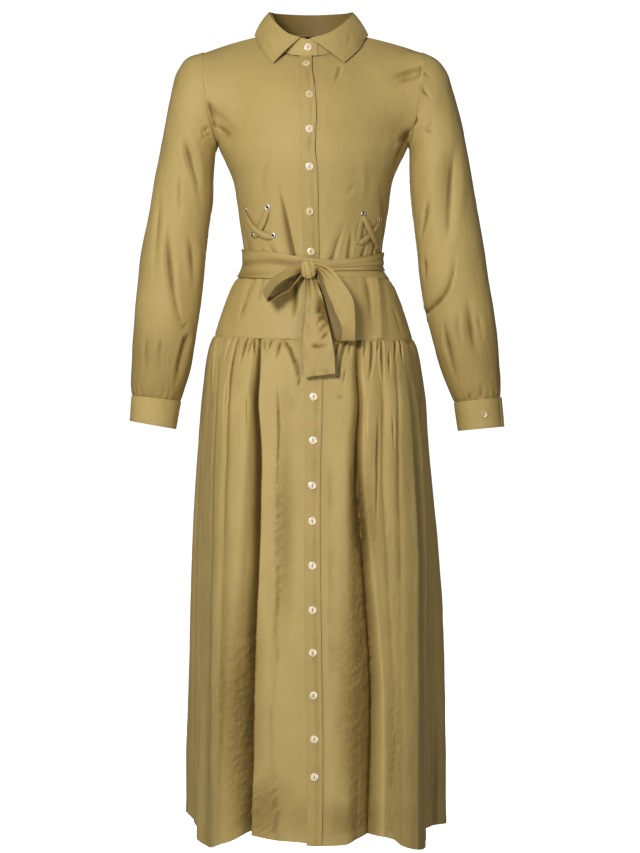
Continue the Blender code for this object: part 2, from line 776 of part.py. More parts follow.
def make_basque():
    up = (0.0, 0.0, 1.0)

    def panel(name, first, last, columns):
        """first and last give the turn of each edge at a height."""
        grid = []
        for share in basque_shares:
            row = []
            for column in range(-1, columns + 2):
                place = column / columns
                near = waist_height + (hip_height - waist_height) * (1 - share)
                turn = first(near) + (last(near) - first(near)) * place
                row.append(body_point(basque_height(share, turn), turn))
            grid.append(row)
        make_grid_solid(name, grid, cloth_wall, "dress_cloth", ghosts=True, foot=up, top=up)

    panel("basque_front_right", lambda height: -side_turn(height, False),
          lambda height: -edge_turn(height, front_edge_right), basque_columns["right"])
    panel("basque_front_left", lambda height: -edge_turn(height, -front_edge_left),
          lambda height: side_turn(height, False), basque_columns["left"])
    panel("basque_back", lambda height: 180 - side_turn(height, True),
          lambda height: 180 + side_turn(height, True), basque_columns["back"])


def make_skirt():
    columns = sorted(skirt_columns(), key=lambda column: column[0] % 360)
    up = (0.0, 0.0, 1.0)

    def build(name, chosen):
        grid = [[skirt_point(share, column) for column in chosen] for share in reversed(skirt_rows)]
        make_grid_solid(name, grid, cloth_wall, "dress_cloth", ghosts=True, top=up)

    def between(low, high):
        return [column for column in columns if low < column[0] % 360 < high]

    def seam(turn, beside, outside):
        pair = [(turned(turn), *beside[1:]), (turned(turn + outside), *beside[1:])]
        return pair if outside > 0 else pair[::-1]

    right = between(270 + side_clear, panel_start_right)
    build("skirt_front_right", seam(270 + seam_turn, right[0], -1.0) + right
          + [held_column(-front_edge_right), held_column(-front_edge_right + held_width)])
    left = between(panel_start_left, 90 - side_clear)
    distances = (front_edge_left - held_width, front_edge_left, 0.0, placket_half_width)
    edge = [held_column(distance) for distance in distances]
    build("skirt_front_left", edge + left + seam(90 - seam_turn, left[-1], 1.0))
    back = between(90 + side_clear, 270 - side_clear)
    build("skirt_back", seam(90 + seam_turn, back[0], -1.0) + back
          + seam(270 - seam_turn, back[-1], 1.0))


def seat(targets, point, outward):
    """Nearest spot and facing of the named panels, looked for from outside."""
    found = []
    start = Vector(point) + Vector(outward) * seat_reach
    for name in targets:
        mesh = bpy.data.objects[name].data
        corners = [vertex.co for vertex in mesh.vertices]
        tree = BVHTree.FromPolygons(corners, [tuple(face.vertices) for face in mesh.polygons])
        for aside in (0.0, seat_aside, -seat_aside):
            spot, normal, _, distance = tree.ray_cast(start + Vector((0, aside, 0)), -Vector(outward))
            if spot is not None:
                found.append((abs(aside), distance, tuple(spot), tuple(normal)))
    _, _, spot, normal = min(found)
    return np.array(spot), np.array(normal)


def make_placket():
    """Strip over the front opening, laid on the same rows as the panels below it."""
    across = [placket_half_width * share for share in (-1.25, -1.0, -0.5, 0.0, 0.5, 1.0, 1.25)]
    rows = [[skirt_point(share, held_column(distance)) for distance in across]
            for share in reversed(skirt_rows)]
    for share in basque_shares[1:]:
        height = basque_height(share, 0.0)
        rows.append([body_point(height, front_turn(height, distance)) for distance in across])
    right, left = half_rows(-1, False), half_rows(1, False)
    for right_row, left_row in list(zip(right, left))[1:]:
        rows.append([beside_middle(left_row if distance >= 0 else right_row, abs(distance))
                     for distance in across])
    up = (0.0, 0.0, 1.0)
    make_grid_solid("placket", rows, cloth_wall, "dress_cloth", lift=cloth_wall + placket_lift,
                    ghosts=True, foot=up, top=up)


def front_turn(height, distance):
    return math.copysign(edge_turn(height, abs(distance)), distance) if distance else 0.0


def make_stand():
    steps = round(360 / stand_step)
    turns = [stand_step * step for step in range(-1, steps + 2)]
    turns = [-stand_overlap] + turns + [360 + stand_overlap]
    grid = []
    for share in (0.0, 1.0):
        row = []
        for turn in turns:
            low, high = seam_base(turn), stand_fold(turn)
            point = low + (high - low) * share
            spread = stand_spread * (ease(300, 342, turn) - 1 + ease(18, 60, turn))
            out = np.array([point[0] - neck_shift, point[1], 0.0])
            row.append(point + out / np.linalg.norm(out) * spread)
        grid.append(row)
    make_grid_solid("collar_stand", grid, collar_wall, "dress_cloth", foot=(0.0, 0.0, 1.0))


def smoothed(values, passes):
    """Even out a run of points or directions, keeping both ends."""
    for _ in range(passes):
        inside = [(before + here * 2 + after) / 4
                  for before, here, after in zip(values, values[1:], values[2:])]
        values = [values[0]] + inside + [values[-1]]
    return values


def collar_rim(turns):
    """Rim of the fall, seated on the bodice and evened along its length."""
    table = sorted((row[0] % 360, row[1], row[2]) for row in collar_edge)
    targets = ["bodice_back", "bodice_front_left", "bodice_front_right", "placket"]
    guesses, ways = [], []
    for turn in turns:
        back = 90 < turn < 270
        place, share = min(curve(table, 1, turn), 1.0), curve(table, 2, turn)
        guesses.append(upper_point(1 if turn < 180 else -1, back, place, share))
        angle = math.radians(turn)
        way = np.array(collar_tilt) * np.array([math.sin(angle), -math.cos(angle), 1.0])
        ways.append(way / np.linalg.norm(way))
    for _ in range(2):
        seats = [seat(targets, guess, way) for guess, way in zip(guesses, ways)]
        guesses = smoothed([spot for spot, _ in seats], 3)
    facings = smoothed([facing for _, facing in seats], 4)
    return [spot + facing * (collar_wall + collar_lift)
            for (spot, _), facing in zip([seat(targets, g, w) for g, w in zip(guesses, ways)], facings)]


def make_collar():
    """Turned down leaf from the fold of the stand to a rim laid just off the bodice."""
    first, last = sorted(row[0] % 360 for row in collar_edge)[::len(collar_edge) - 1]
    turns = [first + (last - first) * column / collar_columns for column in range(collar_columns + 1)]
    grid = [[] for _ in range(collar_rows)]
    for turn, edge in zip(turns, collar_rim(turns)):
        fold = stand_fold(turn)
        out = np.array([fold[0] - neck_shift, fold[1], 0.0])
        out /= np.linalg.norm(out)
        front = 1 - ease(*collar_front, abs(turned(turn)))
        fold = fold + out * (collar_wall + collar_clear + collar_front_out * front)
        fold[2] += 2 * seam_gap
        control = (fold + edge) / 2 + out * collar_spread
        control[2] += collar_roll * (1 - 0.5 * front)
        for row in range(collar_rows):
            t = row / (collar_rows - 1)
            point = fold * (1 - t) ** 2 + control * 2 * t * (1 - t) + edge * t**2
            grid[-1 - row].append(point)
    make_grid_solid("collar_fall", grid, collar_wall, "dress_cloth")


def sleeve_ring(section, side, count, lift=0.0, start=0.0, sweep=360.0, spiral=0.0):
    inner_x, inner_z, outer_x, outer_z, depth, forward = (value * mm for value in section)
    inner, outer = np.array([inner_x, 0, inner_z]), np.array([outer_x, 0, outer_z])
    middle, reach = (inner + outer) / 2, (inner - outer) / 2
    points = []
    for index in range(count):
        turn = start + sweep * index / (count if sweep == 360.0 else count - 1)
        angle = math.radians(turn)
        share = index / (count - 1)
        grow = lift + spiral * (share - 0.5)
        size = 1 + grow / np.linalg.norm(reach)
        point = middle + reach * size * power(math.cos(angle), sleeve_squareness)
        point[1] = forward - (depth + grow) * power(math.sin(angle), sleeve_squareness)
        points.append(np.array([point[0] * side, point[1], point[2]]))
    return points


def make_sleeves():
    for name, side in (("right", -1), ("left", 1)):
        seam = []
        for index in range(sleeve_sides):
            point = armhole_point(side, 360 * index / sleeve_sides)
            point[0] += side * seam_gap * 1.5
            seam.append(point)
        rings = [sleeve_ring(section, side, sleeve_sides) for section in sleeve_sections[name]]
        rows = [seam] + rings
        make_grid_solid("sleeve_" + name, rows[::-1], cloth_wall, "dress_cloth", closed=True,
                        flip=side < 0, foot=ring_axis(rows[-1]))
        start, sweep = cuff_turns[name]
        rows = [sleeve_ring(section, side, cuff_sides, cuff_lift, start, sweep, cuff_spiral)
                for section in cuff_sections[name]]
        make_grid_solid("cuff_" + name, rows[::-1], cloth_wall, "dress_cloth", flip=side < 0,
                        foot=ring_axis(rows[1]), top=ring_axis(rows[0]))


def ring_axis(ring):
    third = len(ring) // 3
    return np.cross(ring[third] - ring[0], ring[2 * third] - ring[0])


def make_belt():
    grid = []
    for share in belt_shares:
        row = []
        for column in range(belt_columns):
            turn = turned(360 * column / belt_columns)
            high, low = curve(belt_line, 1, turn) * mm, curve(belt_line, 2, turn) * mm
            height = high + (low - high) * share
            base = body_point(height, turn)
            out = np.array([base[0], base[1] * belt_depth_pull, 0.0])
            out /= np.linalg.norm(out)
            front = math.exp(-(turn / belt_front_turn) ** 2)
            clear = belt_lift + belt_wall + (cloth_wall + placket_lift) * front
            row.append(base + out * clear)
        grid.append(row)
    make_grid_solid("belt_band", grid, belt_wall, "dress_cloth", closed=True)


def make_strip(name, table, sections):
    keys = [(index, *row) for index, row in enumerate(table)]
    grid = []
    for step in range(sections + 1):
        key = (len(table) - 1) * step / sections
        values = [curve(keys, column, key) * mm for column in range(1, 7)]
        middle, half = np.array(values[:3]), np.array(values[3:])
        grid.append([middle + half * across for across in (-1.0, -0.5, 0.0, 0.5, 1.0)])
    make_grid_solid(name, grid, belt_wall, "dress_cloth")


def make_knot():
    rings, sides = knot_rings, knot_sides
    middle, half = np.array(knot_center), np.array(knot_half_size)
    points = [middle + half * np.array([0, 0, -1])]
    for ring in range(1, rings):
        level = -math.cos(math.pi * ring / rings)
        width = math.sin(math.pi * ring / rings) ** knot_roundness
        for side in range(sides):
            angle = 2 * math.pi * side / sides
            across, back = (power(way, knot_squareness) * width
                            for way in (math.cos(angle), math.sin(angle)))
            points.append(middle + half * np.array([across, back, level]))
    points.append(middle + half * np.array([0, 0, 1]))
    faces = grid_faces(rings - 1, sides, closed=True, start=1)
    last = len(points) - 1
    for side in range(sides):
        beside = (side + 1) % sides
        faces.append((0, 1 + beside, 1 + side))
        faces.append((last, last - sides + side, last - sides + beside))
    make_object("belt_knot", points, faces, "dress_cloth")


def frame_at(point, normal, up=(0.0, 0.0, 1.0)):
    across = np.cross(normal, np.array(up))
    across /= np.linalg.norm(across)
    return point, -across, np.cross(normal, -across), normal


def make_button(name, point, normal):
    """Round disc with a raised rim, seated just off the cloth."""
    place, across, up, out = frame_at(point, normal)
    points = []
    for radius, height in button_profile:
        for side in range(ring_sides):
            angle = 2 * math.pi * side / ring_sides
            way = across * math.cos(angle) + up * math.sin(angle)
            rise = out * (height * button_thickness + button_clear)
            points.append(place + way * radius * button_radius + rise)
    faces = grid_faces(len(button_profile), ring_sides, closed=True)
    faces.append(tuple(reversed(range(ring_sides))))
    faces.append(tuple(range(len(points) - ring_sides, len(points))))
    make_object(name, points, faces, "shell_button")


def make_buttons():
    for index, height in enumerate(front_buttons):
        height *= mm
        across = front_offset(height) + (top_button_aside if index == 0 else 0.0)
        guess = np.array([across, -2 * seat_reach, height])
        beside = [np.array([0.0, 0.0, step * button_reach]) for step in (-1, 0, 1)]
        spots = [seat(["placket"], guess + step, forward) for step in beside]
        normal = sum(spot[1] for spot in spots)
        normal /= np.linalg.norm(normal)
        point = spots[1][0]
        rise = max((spot[0] - point) @ normal for spot in spots)
        make_button(f"button_{index + 2:02d}", point + normal * max(rise, 0.0), normal)
    across = front_offset(stand_button * mm) + stand_button_aside
    guess = np.array([across, -seat_reach, stand_button * mm])
    point, normal = seat(["collar_stand"], guess, forward)
    make_button("button_01", point + normal * stand_button_clear, normal)
    for name, direction in (("right", cuff_button_out[0]), ("left", cuff_button_out[1])):
        side = -1 if name == "right" else 1
        rows = [sleeve_ring(section, side, cuff_sides) for section in cuff_sections[name]]
        middle = sum(rows[0] + rows[1]) / (2 * cuff_sides)
        outward = np.array(direction) / np.linalg.norm(direction)
        point, normal = seat(["cuff_" + name], middle, outward)
        make_button("button_cuff_" + name, point + normal * button_clear, normal)


def make_ring(name, point, normal):
    sides = ring_sides
    place, across, up, out = frame_at(point, normal)
    middle = (eyelet_radius + eyelet_hole) / 2
    profile = [(eyelet_radius, 0.0), (middle, eyelet_height), (eyelet_hole, 0.0)]
    points = []
    for radius, height in profile:
        for side in range(sides):
            angle = 2 * math.pi * side / sides
            way = across * math.cos(angle) + up * math.sin(angle)
            points.append(place + way * radius + out * height)
    faces = []
    for ring in range(3):
        after = (ring + 1) % 3
        for side in range(sides):
            beside = (side + 1) % sides
            faces.append((ring * sides + side, ring * sides + beside, after * sides + beside,
                          after * sides + side))
    make_object(name, points, faces, "eyelet_metal")


def waist_side(across, height):
    """Seat on the bodice front beside the placket, with the way that it faces."""
    panel = "bodice_front_left" if across > 0 else "bodice_front_right"
    return seat([panel], np.array([across * mm, -seat_reach, height * mm]), forward)


def make_eyelets():
    for name, across, height in eyelets:
        point, normal = waist_side(across, height)
        make_ring("eyelet_" + name, point + normal * eyelet_clear, normal)


def make_laces():
    for name, first, last, sag, lift in laces:
        line = []
        for step in range(lace_steps + 1):
            t = step / lace_steps
            bow = 4 * t * (1 - t)
            across = first[0] + (last[0] - first[0]) * t + sag[0] * bow
            height = first[1] + (last[1] - first[1]) * t + sag[1] * bow
            rise = lift * mm * math.sqrt(math.sin(math.pi * t))
            point, normal = waist_side(across, height)
            line.append((point + normal * (lace_clear + rise), normal))
        grid = []
        for index, (point, normal) in enumerate(line):
            ahead = line[min(index + 1, lace_steps)][0] - line[max(index - 1, 0)][0]
            sideways = np.cross(normal, ahead / np.linalg.norm(ahead))
            top = point + normal * lace_wall
            grid.append([top + sideways * lace_half_width * share for share in (1, 0, -1)])
        make_grid_solid("lace_" + name, grid, lace_wall, "dress_cloth")


def make_label():
    """Plain tab inside the back neck, laid on the last rows of the bodice back."""
    rows = []
    for height in label_heights:
        row = []
        for distance in label_distances:
            low, high = half_rows(-1 if distance > 0 else 1, True)[-2:]
            low, high = (beside_middle(line, abs(distance) * mm) for line in (low, high))
            row.append(low + (high - low) * height)
        rows.append(row)
    lift = -(cloth_wall + 3 * seam_gap)
    make_grid_solid("neck_label", rows, label_wall, "label_cloth", lift=lift)


def main():
    clear_scene()
    for name in slots:
        make_material(name)
    make_bodice()
    make_basque()
    make_skirt()
    make_placket()
    make_stand()
    make_collar()
    make_sleeves()
    make_belt()
    for name, (table, sections) in strips.items():
        make_strip(name, table, sections)
    make_knot()
    make_buttons()
    make_eyelets()
    make_laces()
    make_label()


main()
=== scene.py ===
import json
import math
from itertools import product

import bpy
import numpy as np
from mathutils import Matrix, Vector

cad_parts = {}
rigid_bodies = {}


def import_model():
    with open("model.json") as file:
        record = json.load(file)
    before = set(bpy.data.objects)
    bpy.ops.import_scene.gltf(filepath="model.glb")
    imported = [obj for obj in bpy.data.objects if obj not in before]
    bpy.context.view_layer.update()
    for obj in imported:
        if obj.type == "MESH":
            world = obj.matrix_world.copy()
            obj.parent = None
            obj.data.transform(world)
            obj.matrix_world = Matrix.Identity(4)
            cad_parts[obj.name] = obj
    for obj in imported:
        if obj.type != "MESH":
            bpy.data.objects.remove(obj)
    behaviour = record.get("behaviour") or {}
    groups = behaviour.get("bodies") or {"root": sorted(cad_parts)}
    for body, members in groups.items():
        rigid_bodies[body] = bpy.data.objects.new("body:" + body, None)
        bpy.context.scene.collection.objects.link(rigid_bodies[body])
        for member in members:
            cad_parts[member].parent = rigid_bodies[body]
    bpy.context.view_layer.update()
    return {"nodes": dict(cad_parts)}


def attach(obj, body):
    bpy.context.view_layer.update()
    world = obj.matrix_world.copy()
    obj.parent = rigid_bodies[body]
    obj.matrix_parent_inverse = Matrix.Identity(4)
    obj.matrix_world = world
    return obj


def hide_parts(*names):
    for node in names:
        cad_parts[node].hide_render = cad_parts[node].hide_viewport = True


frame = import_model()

# Long shirt dress. The front faces -Y, the wearer's left is +X, and the origin
# lies between the neck points. Tables are in millimetres and degrees.
mm = 0.001
smooth = math.radians(50)
for item in bpy.data.objects:
    item.select_set(False)


# ---- finishes

cloth = dict(
    light=(0.462, 0.338, 0.120), dark=(0.405, 0.290, 0.098), roughness=0.52,
    foldShadeTone=(0.70, 0.66, 0.56), deepShadeTone=(0.40, 0.34, 0.24), threads=1700,
    sheen=0.04, sheenRoughness=0.40, sheenTint=(0.95, 0.86, 0.62),
)


def paint(name):
    material = bpy.data.materials.new(name)
    material.use_nodes = True
    tree = material.node_tree
    shader = tree.nodes["Principled BSDF"]

    def add(kind, **values):
        node = tree.nodes.new(kind)
        for key, value in values.items():
            if hasattr(node, key):
                setattr(node, key, value)
            else:
                node.inputs[key].default_value = value
        return node

    def link(node, output, other, socket):
        tree.links.new(node.outputs[output], other.inputs[socket])

    return material, shader, add, link


def ramp(add, link, source, output, stops):
    node = add("ShaderNodeValToRGB")
    elements = node.color_ramp.elements
    while len(elements) < len(stops):
        elements.new(0.5)
    for element, (place, color) in zip(elements, stops):
        element.position = place
        element.color = (*color, 1.0) if len(color) == 3 else color
    link(source, output, node, "Fac")
    return node


def dressCloth(name, crinkle=1.0, shade=1.0):
    # woven viscose: two thread directions, slubs, soft crinkles, sheen, and painted shade down in folds and on the
    # wrong side
    material, shader, add, link = paint(name)
    place = add("ShaderNodeUVMap", uv_map="weave")
    tilt = add("ShaderNodeMapping")
    tilt.inputs["Rotation"].default_value = (0, 0, math.radians(24))
    tilt.inputs["Scale"].default_value = (1.0, 0.55, 1.0)
    link(place, "UV", tilt, "Vector")

    cloud = add("ShaderNodeTexNoise", Scale=9.0, Detail=4.0, Roughness=0.55)
    link(place, "UV", cloud, "Vector")
    slub = add("ShaderNodeMapping")
    slub.inputs["Scale"].default_value = (38.0, 620.0, 1.0)
    link(place, "UV", slub, "Vector")
    slubs = add("ShaderNodeTexNoise", Scale=1.0, Detail=2.0, Roughness=0.6)
    link(slub, "Vector", slubs, "Vector")
    mix = add("ShaderNodeMath", operation="MULTIPLY_ADD")
    mix.inputs[1].default_value = 0.35
    link(slubs, "Fac", mix, 0)
    link(cloud, "Fac", mix, 2)
    # shade below 1 gives a darker copy of this cloth, painted shade
    light, dark = (tuple(c * shade for c in cloth[key]) for key in ("light", "dark"))
    color = ramp(add, link, mix, "Value", [(0.42, dark), (0.86, light)])
    # painted shade: the colour is darkened and browned down in folds and seams, and over the wrong side
    depth = add("ShaderNodeAttribute", attribute_name="foldShade")
    tones = [(0.04, (1.0, 1.0, 1.0)), (0.45, cloth["foldShadeTone"]), (1.0, cloth["deepShadeTone"])]
    tone = ramp(add, link, depth, "Fac", tones)
    shaded = add("ShaderNodeMix", data_type="RGBA", blend_type="MULTIPLY")
    shaded.inputs["Factor"].default_value = 1.0
    tree = material.node_tree
    tree.links.new(color.outputs["Color"], shaded.inputs[6])
    tree.links.new(tone.outputs["Color"], shaded.inputs[7])
    tree.links.new(shaded.outputs[2], shader.inputs["Base Color"])

    rough = add("ShaderNodeMapRange")
    for socket, value in zip((1, 2, 3, 4), (0.3, 0.7, cloth["roughness"] - 0.06, cloth["roughness"] + 0.07)):
        rough.inputs[socket].default_value = value
    link(cloud, "Fac", rough, 0)
    link(rough, "Result", shader, "Roughness")
    shader.inputs["Sheen Weight"].default_value = cloth["sheen"]
    shader.inputs["Sheen Roughness"].default_value = cloth["sheenRoughness"]
    shader.inputs["Sheen Tint"].default_value = (*cloth["sheenTint"], 1.0)
    shader.inputs["Specular IOR Level"].default_value = 0.22

    # crinkles: thin ridges where two soft noises cross their middle value
    creaseA = add("ShaderNodeTexNoise", Scale=22.0, Detail=2.0, Roughness=0.45, Distortion=0.4)
    link(tilt, "Vector", creaseA, "Vector")
    folds = ramp(add, link, creaseA, "Fac", [(0.40, (0, 0, 0)), (0.50, (1, 1, 1)), (0.60, (0, 0, 0))])
    creaseB = add("ShaderNodeTexNoise", Scale=95.0, Detail=4.0, Roughness=0.6, Distortion=0.8)
    link(tilt, "Vector", creaseB, "Vector")
    fine = ramp(add, link, creaseB, "Fac", [(0.42, (0, 0, 0)), (0.50, (1, 1, 1)), (0.58, (0, 0, 0))])
    marks = add("ShaderNodeAttribute", attribute_name="crinkle")
    amount = add("ShaderNodeMath", operation="MULTIPLY")
    link(marks, "Fac", amount, 0)
    link(fine, "Color", amount, 1)
    total = add("ShaderNodeMath", operation="MULTIPLY_ADD")
    total.inputs[1].default_value = 0.15
    link(folds, "Color", total, 0)
    link(amount, "Value", total, 2)
    bumpA = add("ShaderNodeBump", Distance=0.0011, Strength=0.5 * crinkle)
    link(total, "Value", bumpA, "Height")

    across, along = (add("ShaderNodeTexWave", wave_type="BANDS", bands_direction=way, Scale=cloth["threads"] / 6.3,
                         Distortion=0.6, Detail=1.0) for way in "XY")
    link(place, "UV", across, "Vector")
    link(place, "UV", along, "Vector")
    weave = add("ShaderNodeMath", operation="MULTIPLY")
    link(across, "Fac", weave, 0)
    link(along, "Fac", weave, 1)
    bumpB = add("ShaderNodeBump", Distance=0.0002, Strength=0.35)
    link(weave, "Value", bumpB, "Height")
    link(bumpA, "Normal", bumpB, "Normal")
    link(bumpB, "Normal", shader, "Normal")
    return material


def speckled(name, stops, roughness, **noise):
    # a finish whose colour wanders between stops
    material, shader, add, link = paint(name)
    place = add("ShaderNodeTexCoord")
    speckle = add("ShaderNodeTexNoise", **noise)
    link(place, "Object", speckle, "Vector")
    color = ramp(add, link, speckle, "Fac", stops)
    link(color, "Color", shader, "Base Color")
    shader.inputs["Roughness"].default_value = roughness
    return material, shader, add, link, speckle


def threadPaint(name):
    stops = [(0.35, (0.33, 0.245, 0.095)), (0.65, (0.44, 0.335, 0.14))]
    material, shader, *_ = speckled(name, stops, 0.5, Scale=900.0, Detail=2.0)
    shader.inputs["Sheen Weight"].default_value = 0.2
    return material


def shellPaint(name, shade=(1, 1, 1)):
    # mother of pearl: cloudy cream and pink with a clear polish
    tones = ((0.30, (0.56, 0.42, 0.27)), (0.47, (0.80, 0.66, 0.45)),
             (0.60, (0.86, 0.75, 0.58)), (0.75, (0.68, 0.53, 0.38)))
    stops = [(place, tuple(np.multiply(tone, shade))) for place, tone in tones]
    material, shader, add, link, cloud = speckled(
        name, stops, 0.22, Scale=210.0, Detail=3.0, Roughness=0.6, Distortion=1.4)
    shader.inputs["Coat Weight"].default_value = 0.5
    shader.inputs["Coat Roughness"].default_value = 0.08
    shader.inputs["Specular IOR Level"].default_value = 0.6
    bump = add("ShaderNodeBump", Distance=0.0002, Strength=0.2)
    link(cloud, "Fac", bump, "Height")
    link(bump, "Normal", shader, "Normal")
    return material


def metalPaint(name):
    stops = [(0.35, (0.78, 0.73, 0.70)), (0.65, (0.92, 0.88, 0.85))]
    material, shader, add, link, wear = speckled(name, stops, 0.35, Scale=600.0, Detail=3.0)
    rough = ramp(add, link, wear, "Fac", [(0.3, (0.28, 0.28, 0.28)), (0.7, (0.42, 0.42, 0.42))])
    link(rough, "Color", shader, "Roughness")
    shader.inputs["Metallic"].default_value = 1.0
    return material


def labelPaint(name):
    material, shader, add, link = paint(name)
    place = add("ShaderNodeUVMap", uv_map="weave")
    rib = add("ShaderNodeTexWave", wave_type="BANDS", bands_direction="Y", Scale=320.0, Distortion=0.4)
    link(place, "UV", rib, "Vector")
    color = ramp(add, link, rib, "Fac", [(0.2, (0.008, 0.008, 0.010)), (0.8, (0.022, 0.021, 0.024))])
    link(color, "Color", shader, "Base Color")
    shader.inputs["Roughness"].default_value = 0.62
    bump = add("ShaderNodeBump", Distance=0.0002, Strength=0.5)
    link(rib, "Fac", bump, "Height")
    link(bump, "Normal", shader, "Normal")
    return material


# near-black, painted shade for the insides of holes and the thread sunk in them
def holePaint(name):
    stops = [(0.3, (0.035, 0.026, 0.012)), (0.7, (0.07, 0.052, 0.024))]
    return speckled(name, stops, 0.8, Scale=400.0)[0]


paints = {
    "cloth": dressCloth("dressCloth"),
    "belt": dressCloth("beltCloth", crinkle=0.8),
    # painted shade: a darker copy of the cloth for the wrong side, which lies in shade inside the dress
    "inside": dressCloth("clothWrongSideShaded", crinkle=0.5, shade=0.85),
    "thread": threadPaint("sewingThread"),
    "shell": shellPaint("shellButton"),
    "dyedShell": shellPaint("dyedShellButton", shade=(0.84, 0.78, 0.58)),
    "cuffShell": shellPaint("oliveShellButton", shade=(0.64, 0.53, 0.30)),
    "metal": metalPaint("eyeletMetal"),
    "label": labelPaint("labelCloth"),
    "hole": holePaint("shadedHole"),
}
print("finishes made")


# ---- lines, noise and cloth surfaces

def ease(low, high, value):
    t = np.clip((value - low) / (high - low), 0.0, 1.0)
    return t * t * (3 - 2 * t)


def power(value, squareness):
    return np.sign(value) * np.abs(value) ** (2 / squareness)


def unit(vectors):
    return vectors / np.linalg.norm(vectors, axis=-1, keepdims=True)


def turned(value):
    return (value + 180.0) % 360.0 - 180.0


def follow(table, column, where):
    # smooth line through one column of a table, read wherever it is wanted
    rows = np.array(sorted(table), float)
    keys, values = rows[:, 0], rows[:, column]
    last = len(keys) - 1
    low, high = np.clip(np.arange(last + 1) - 1, 0, last), np.clip(np.arange(last + 1) + 1, 0, last)
    slopes = (values[high] - values[low]) / (keys[high] - keys[low])
    spot = np.clip(np.searchsorted(keys, where, side="right") - 1, 0, last - 1)
    step = keys[spot + 1] - keys[spot]
    t = np.clip((where - keys[spot]) / step, 0.0, 1.0)
    return ((2 * t**3 - 3 * t**2 + 1) * values[spot] + (t**3 - 2 * t**2 + t) * step * slopes[spot]
            + (3 * t**2 - 2 * t**3) * values[spot + 1] + (t**3 - t**2) * step * slopes[spot + 1])


def pull(points, keys, at):
    # smooth line through whole rows of points known at keys
    points, keys, at = np.asarray(points, float), np.asarray(keys, float), np.asarray(at, float)
    shape = (-1,) + (1,) * (points.ndim - 1)
    gaps = np.diff(keys)
    runs = np.diff(points, axis=0) / gaps.reshape(shape)
    slopes = np.empty_like(points)
    slopes[0], slopes[-1] = runs[0], runs[-1]
    before, after = gaps[:-1].reshape(shape), gaps[1:].reshape(shape)
    slopes[1:-1] = (runs[:-1] * after + runs[1:] * before) / (before + after)
    spot = np.clip(np.searchsorted(keys, at, side="right") - 1, 0, len(keys) - 2)
    step = (keys[spot + 1] - keys[spot]).reshape(shape)
    t = ((at - keys[spot]).reshape(shape)) / step
    return ((2 * t**3 - 3 * t**2 + 1) * points[spot] + (t**3 - 2 * t**2 + t) * step * slopes[spot]
            + (3 * t**2 - 2 * t**3) * points[spot + 1] + (t**3 - t**2) * step * slopes[spot + 1])


def lengths(points):
    # distance run along the first axis
    steps = np.linalg.norm(np.diff(points, axis=0), axis=-1)
    return np.concatenate([np.zeros((1,) + steps.shape[1:]), np.cumsum(steps, axis=0)])


noiseCells = 32
noiseBlock = np.random.default_rng(11).uniform(-1, 1, (noiseCells,) * 3)


def mottle(points, size, shift=0.0):
    # soft noise from -1 to 1 whose lumps have this size along x, y and z
    where = points / (np.array(size) * mm) + 13.7 + shift
    cell = np.floor(where).astype(int)
    part = where - cell
    part = part**3 * (part * (part * 6 - 15) + 10)
    total = np.zeros(points.shape[:-1])
    for corner in product((0, 1), repeat=3):
        weight = np.prod(np.where(np.array(corner) == 1, part, 1 - part), axis=-1)
        x, y, z = np.moveaxis((cell + np.array(corner)) % noiseCells, -1, 0)
        total += weight * noiseBlock[x, y, z]
    return total


def facing(grid, closed=False):
    if closed:
        wrapped = np.concatenate([grid[:, -1:], grid, grid[:, :1]], axis=1)
        across = (wrapped[:, 2:] - wrapped[:, :-2])
    else:
        across = np.gradient(grid, axis=1)
    up = np.gradient(grid, axis=0)
    return unit(np.cross(across, up))


def creased(grid, rows, closed=False, back=False, keep=None):
    # press listed creases into a surface. A row is half width, depth (below zero
    # a ridge), lean of the steep side, held end (0 none, 1 first, 2 both), then the
    # points it runs through as across, up
    normals = facing(grid, closed)
    flat, ways = grid.reshape(-1, 3), normals.reshape(-1, 3)
    seen = np.where(ways[:, 1] * (-1 if back else 1) < 0.45)[0]
    press = np.zeros(len(flat))
    for number, (wide, deep, lean, held, *path) in enumerate(rows):
        lean = lean + 0.3 * math.sin(number * 2.3)
        path = np.array(path, float).reshape(-1, 2) * mm
        keys = np.arange(len(path))
        steps = max(8, int(np.linalg.norm(np.diff(path, axis=0), axis=1).sum() / 0.012))
        line = pull(path, keys, np.linspace(0, keys[-1], steps + 1))
        away = ((flat[seen][None, :, (0, 2)] - line[:, None]) ** 2).sum(-1)
        spots = seen[away.argmin(axis=1)]
        line3 = flat[spots]
        for _ in range(2):
            line3[1:-1] = (line3[:-2] + line3[1:-1] * 2 + line3[2:]) / 4
        reach = wide * mm * 4.2
        low, high = line3.min(axis=0) - reach, line3.max(axis=0) + reach
        near = np.where(((flat > low) & (flat < high)).all(axis=1))[0]
        best, share, side = np.full(len(near), 9.0), np.zeros(len(near)), np.zeros(len(near))
        for index, (start, stop) in enumerate(zip(line3, line3[1:])):
            run = stop - start
            span = max(run @ run, 1e-12)
            t = np.clip(((flat[near] - start) @ run) / span, 0, 1)
            offset = flat[near] - start - t[:, None] * run
            distance = np.linalg.norm(offset, axis=1)
            closer = distance < best
            best = np.where(closer, distance, best)
            share = np.where(closer, (index + t) / (len(line3) - 1), share)
            sign = np.sign((np.cross(run, ways[near]) * offset).sum(axis=1))
            side = np.where(closer, sign, side)
        fade = (1.0 if held else ease(0, 0.45, share)) * (1.0 if held == 2 else ease(0, 0.7, 1 - share))
        q = best / (wide * mm * (1 + lean * side) * (0.55 + 0.45 * fade))
        trough = (1 + 1.9 * q) * np.exp(-1.9 * q) - 0.22 * np.exp(-((q - 2.3) / 0.9) ** 2)
        press[near] += deep * mm * trough * fade
    press = press.reshape(grid.shape[:2])
    if keep is not None:
        press = press * keep
    return grid - normals * press[..., None]


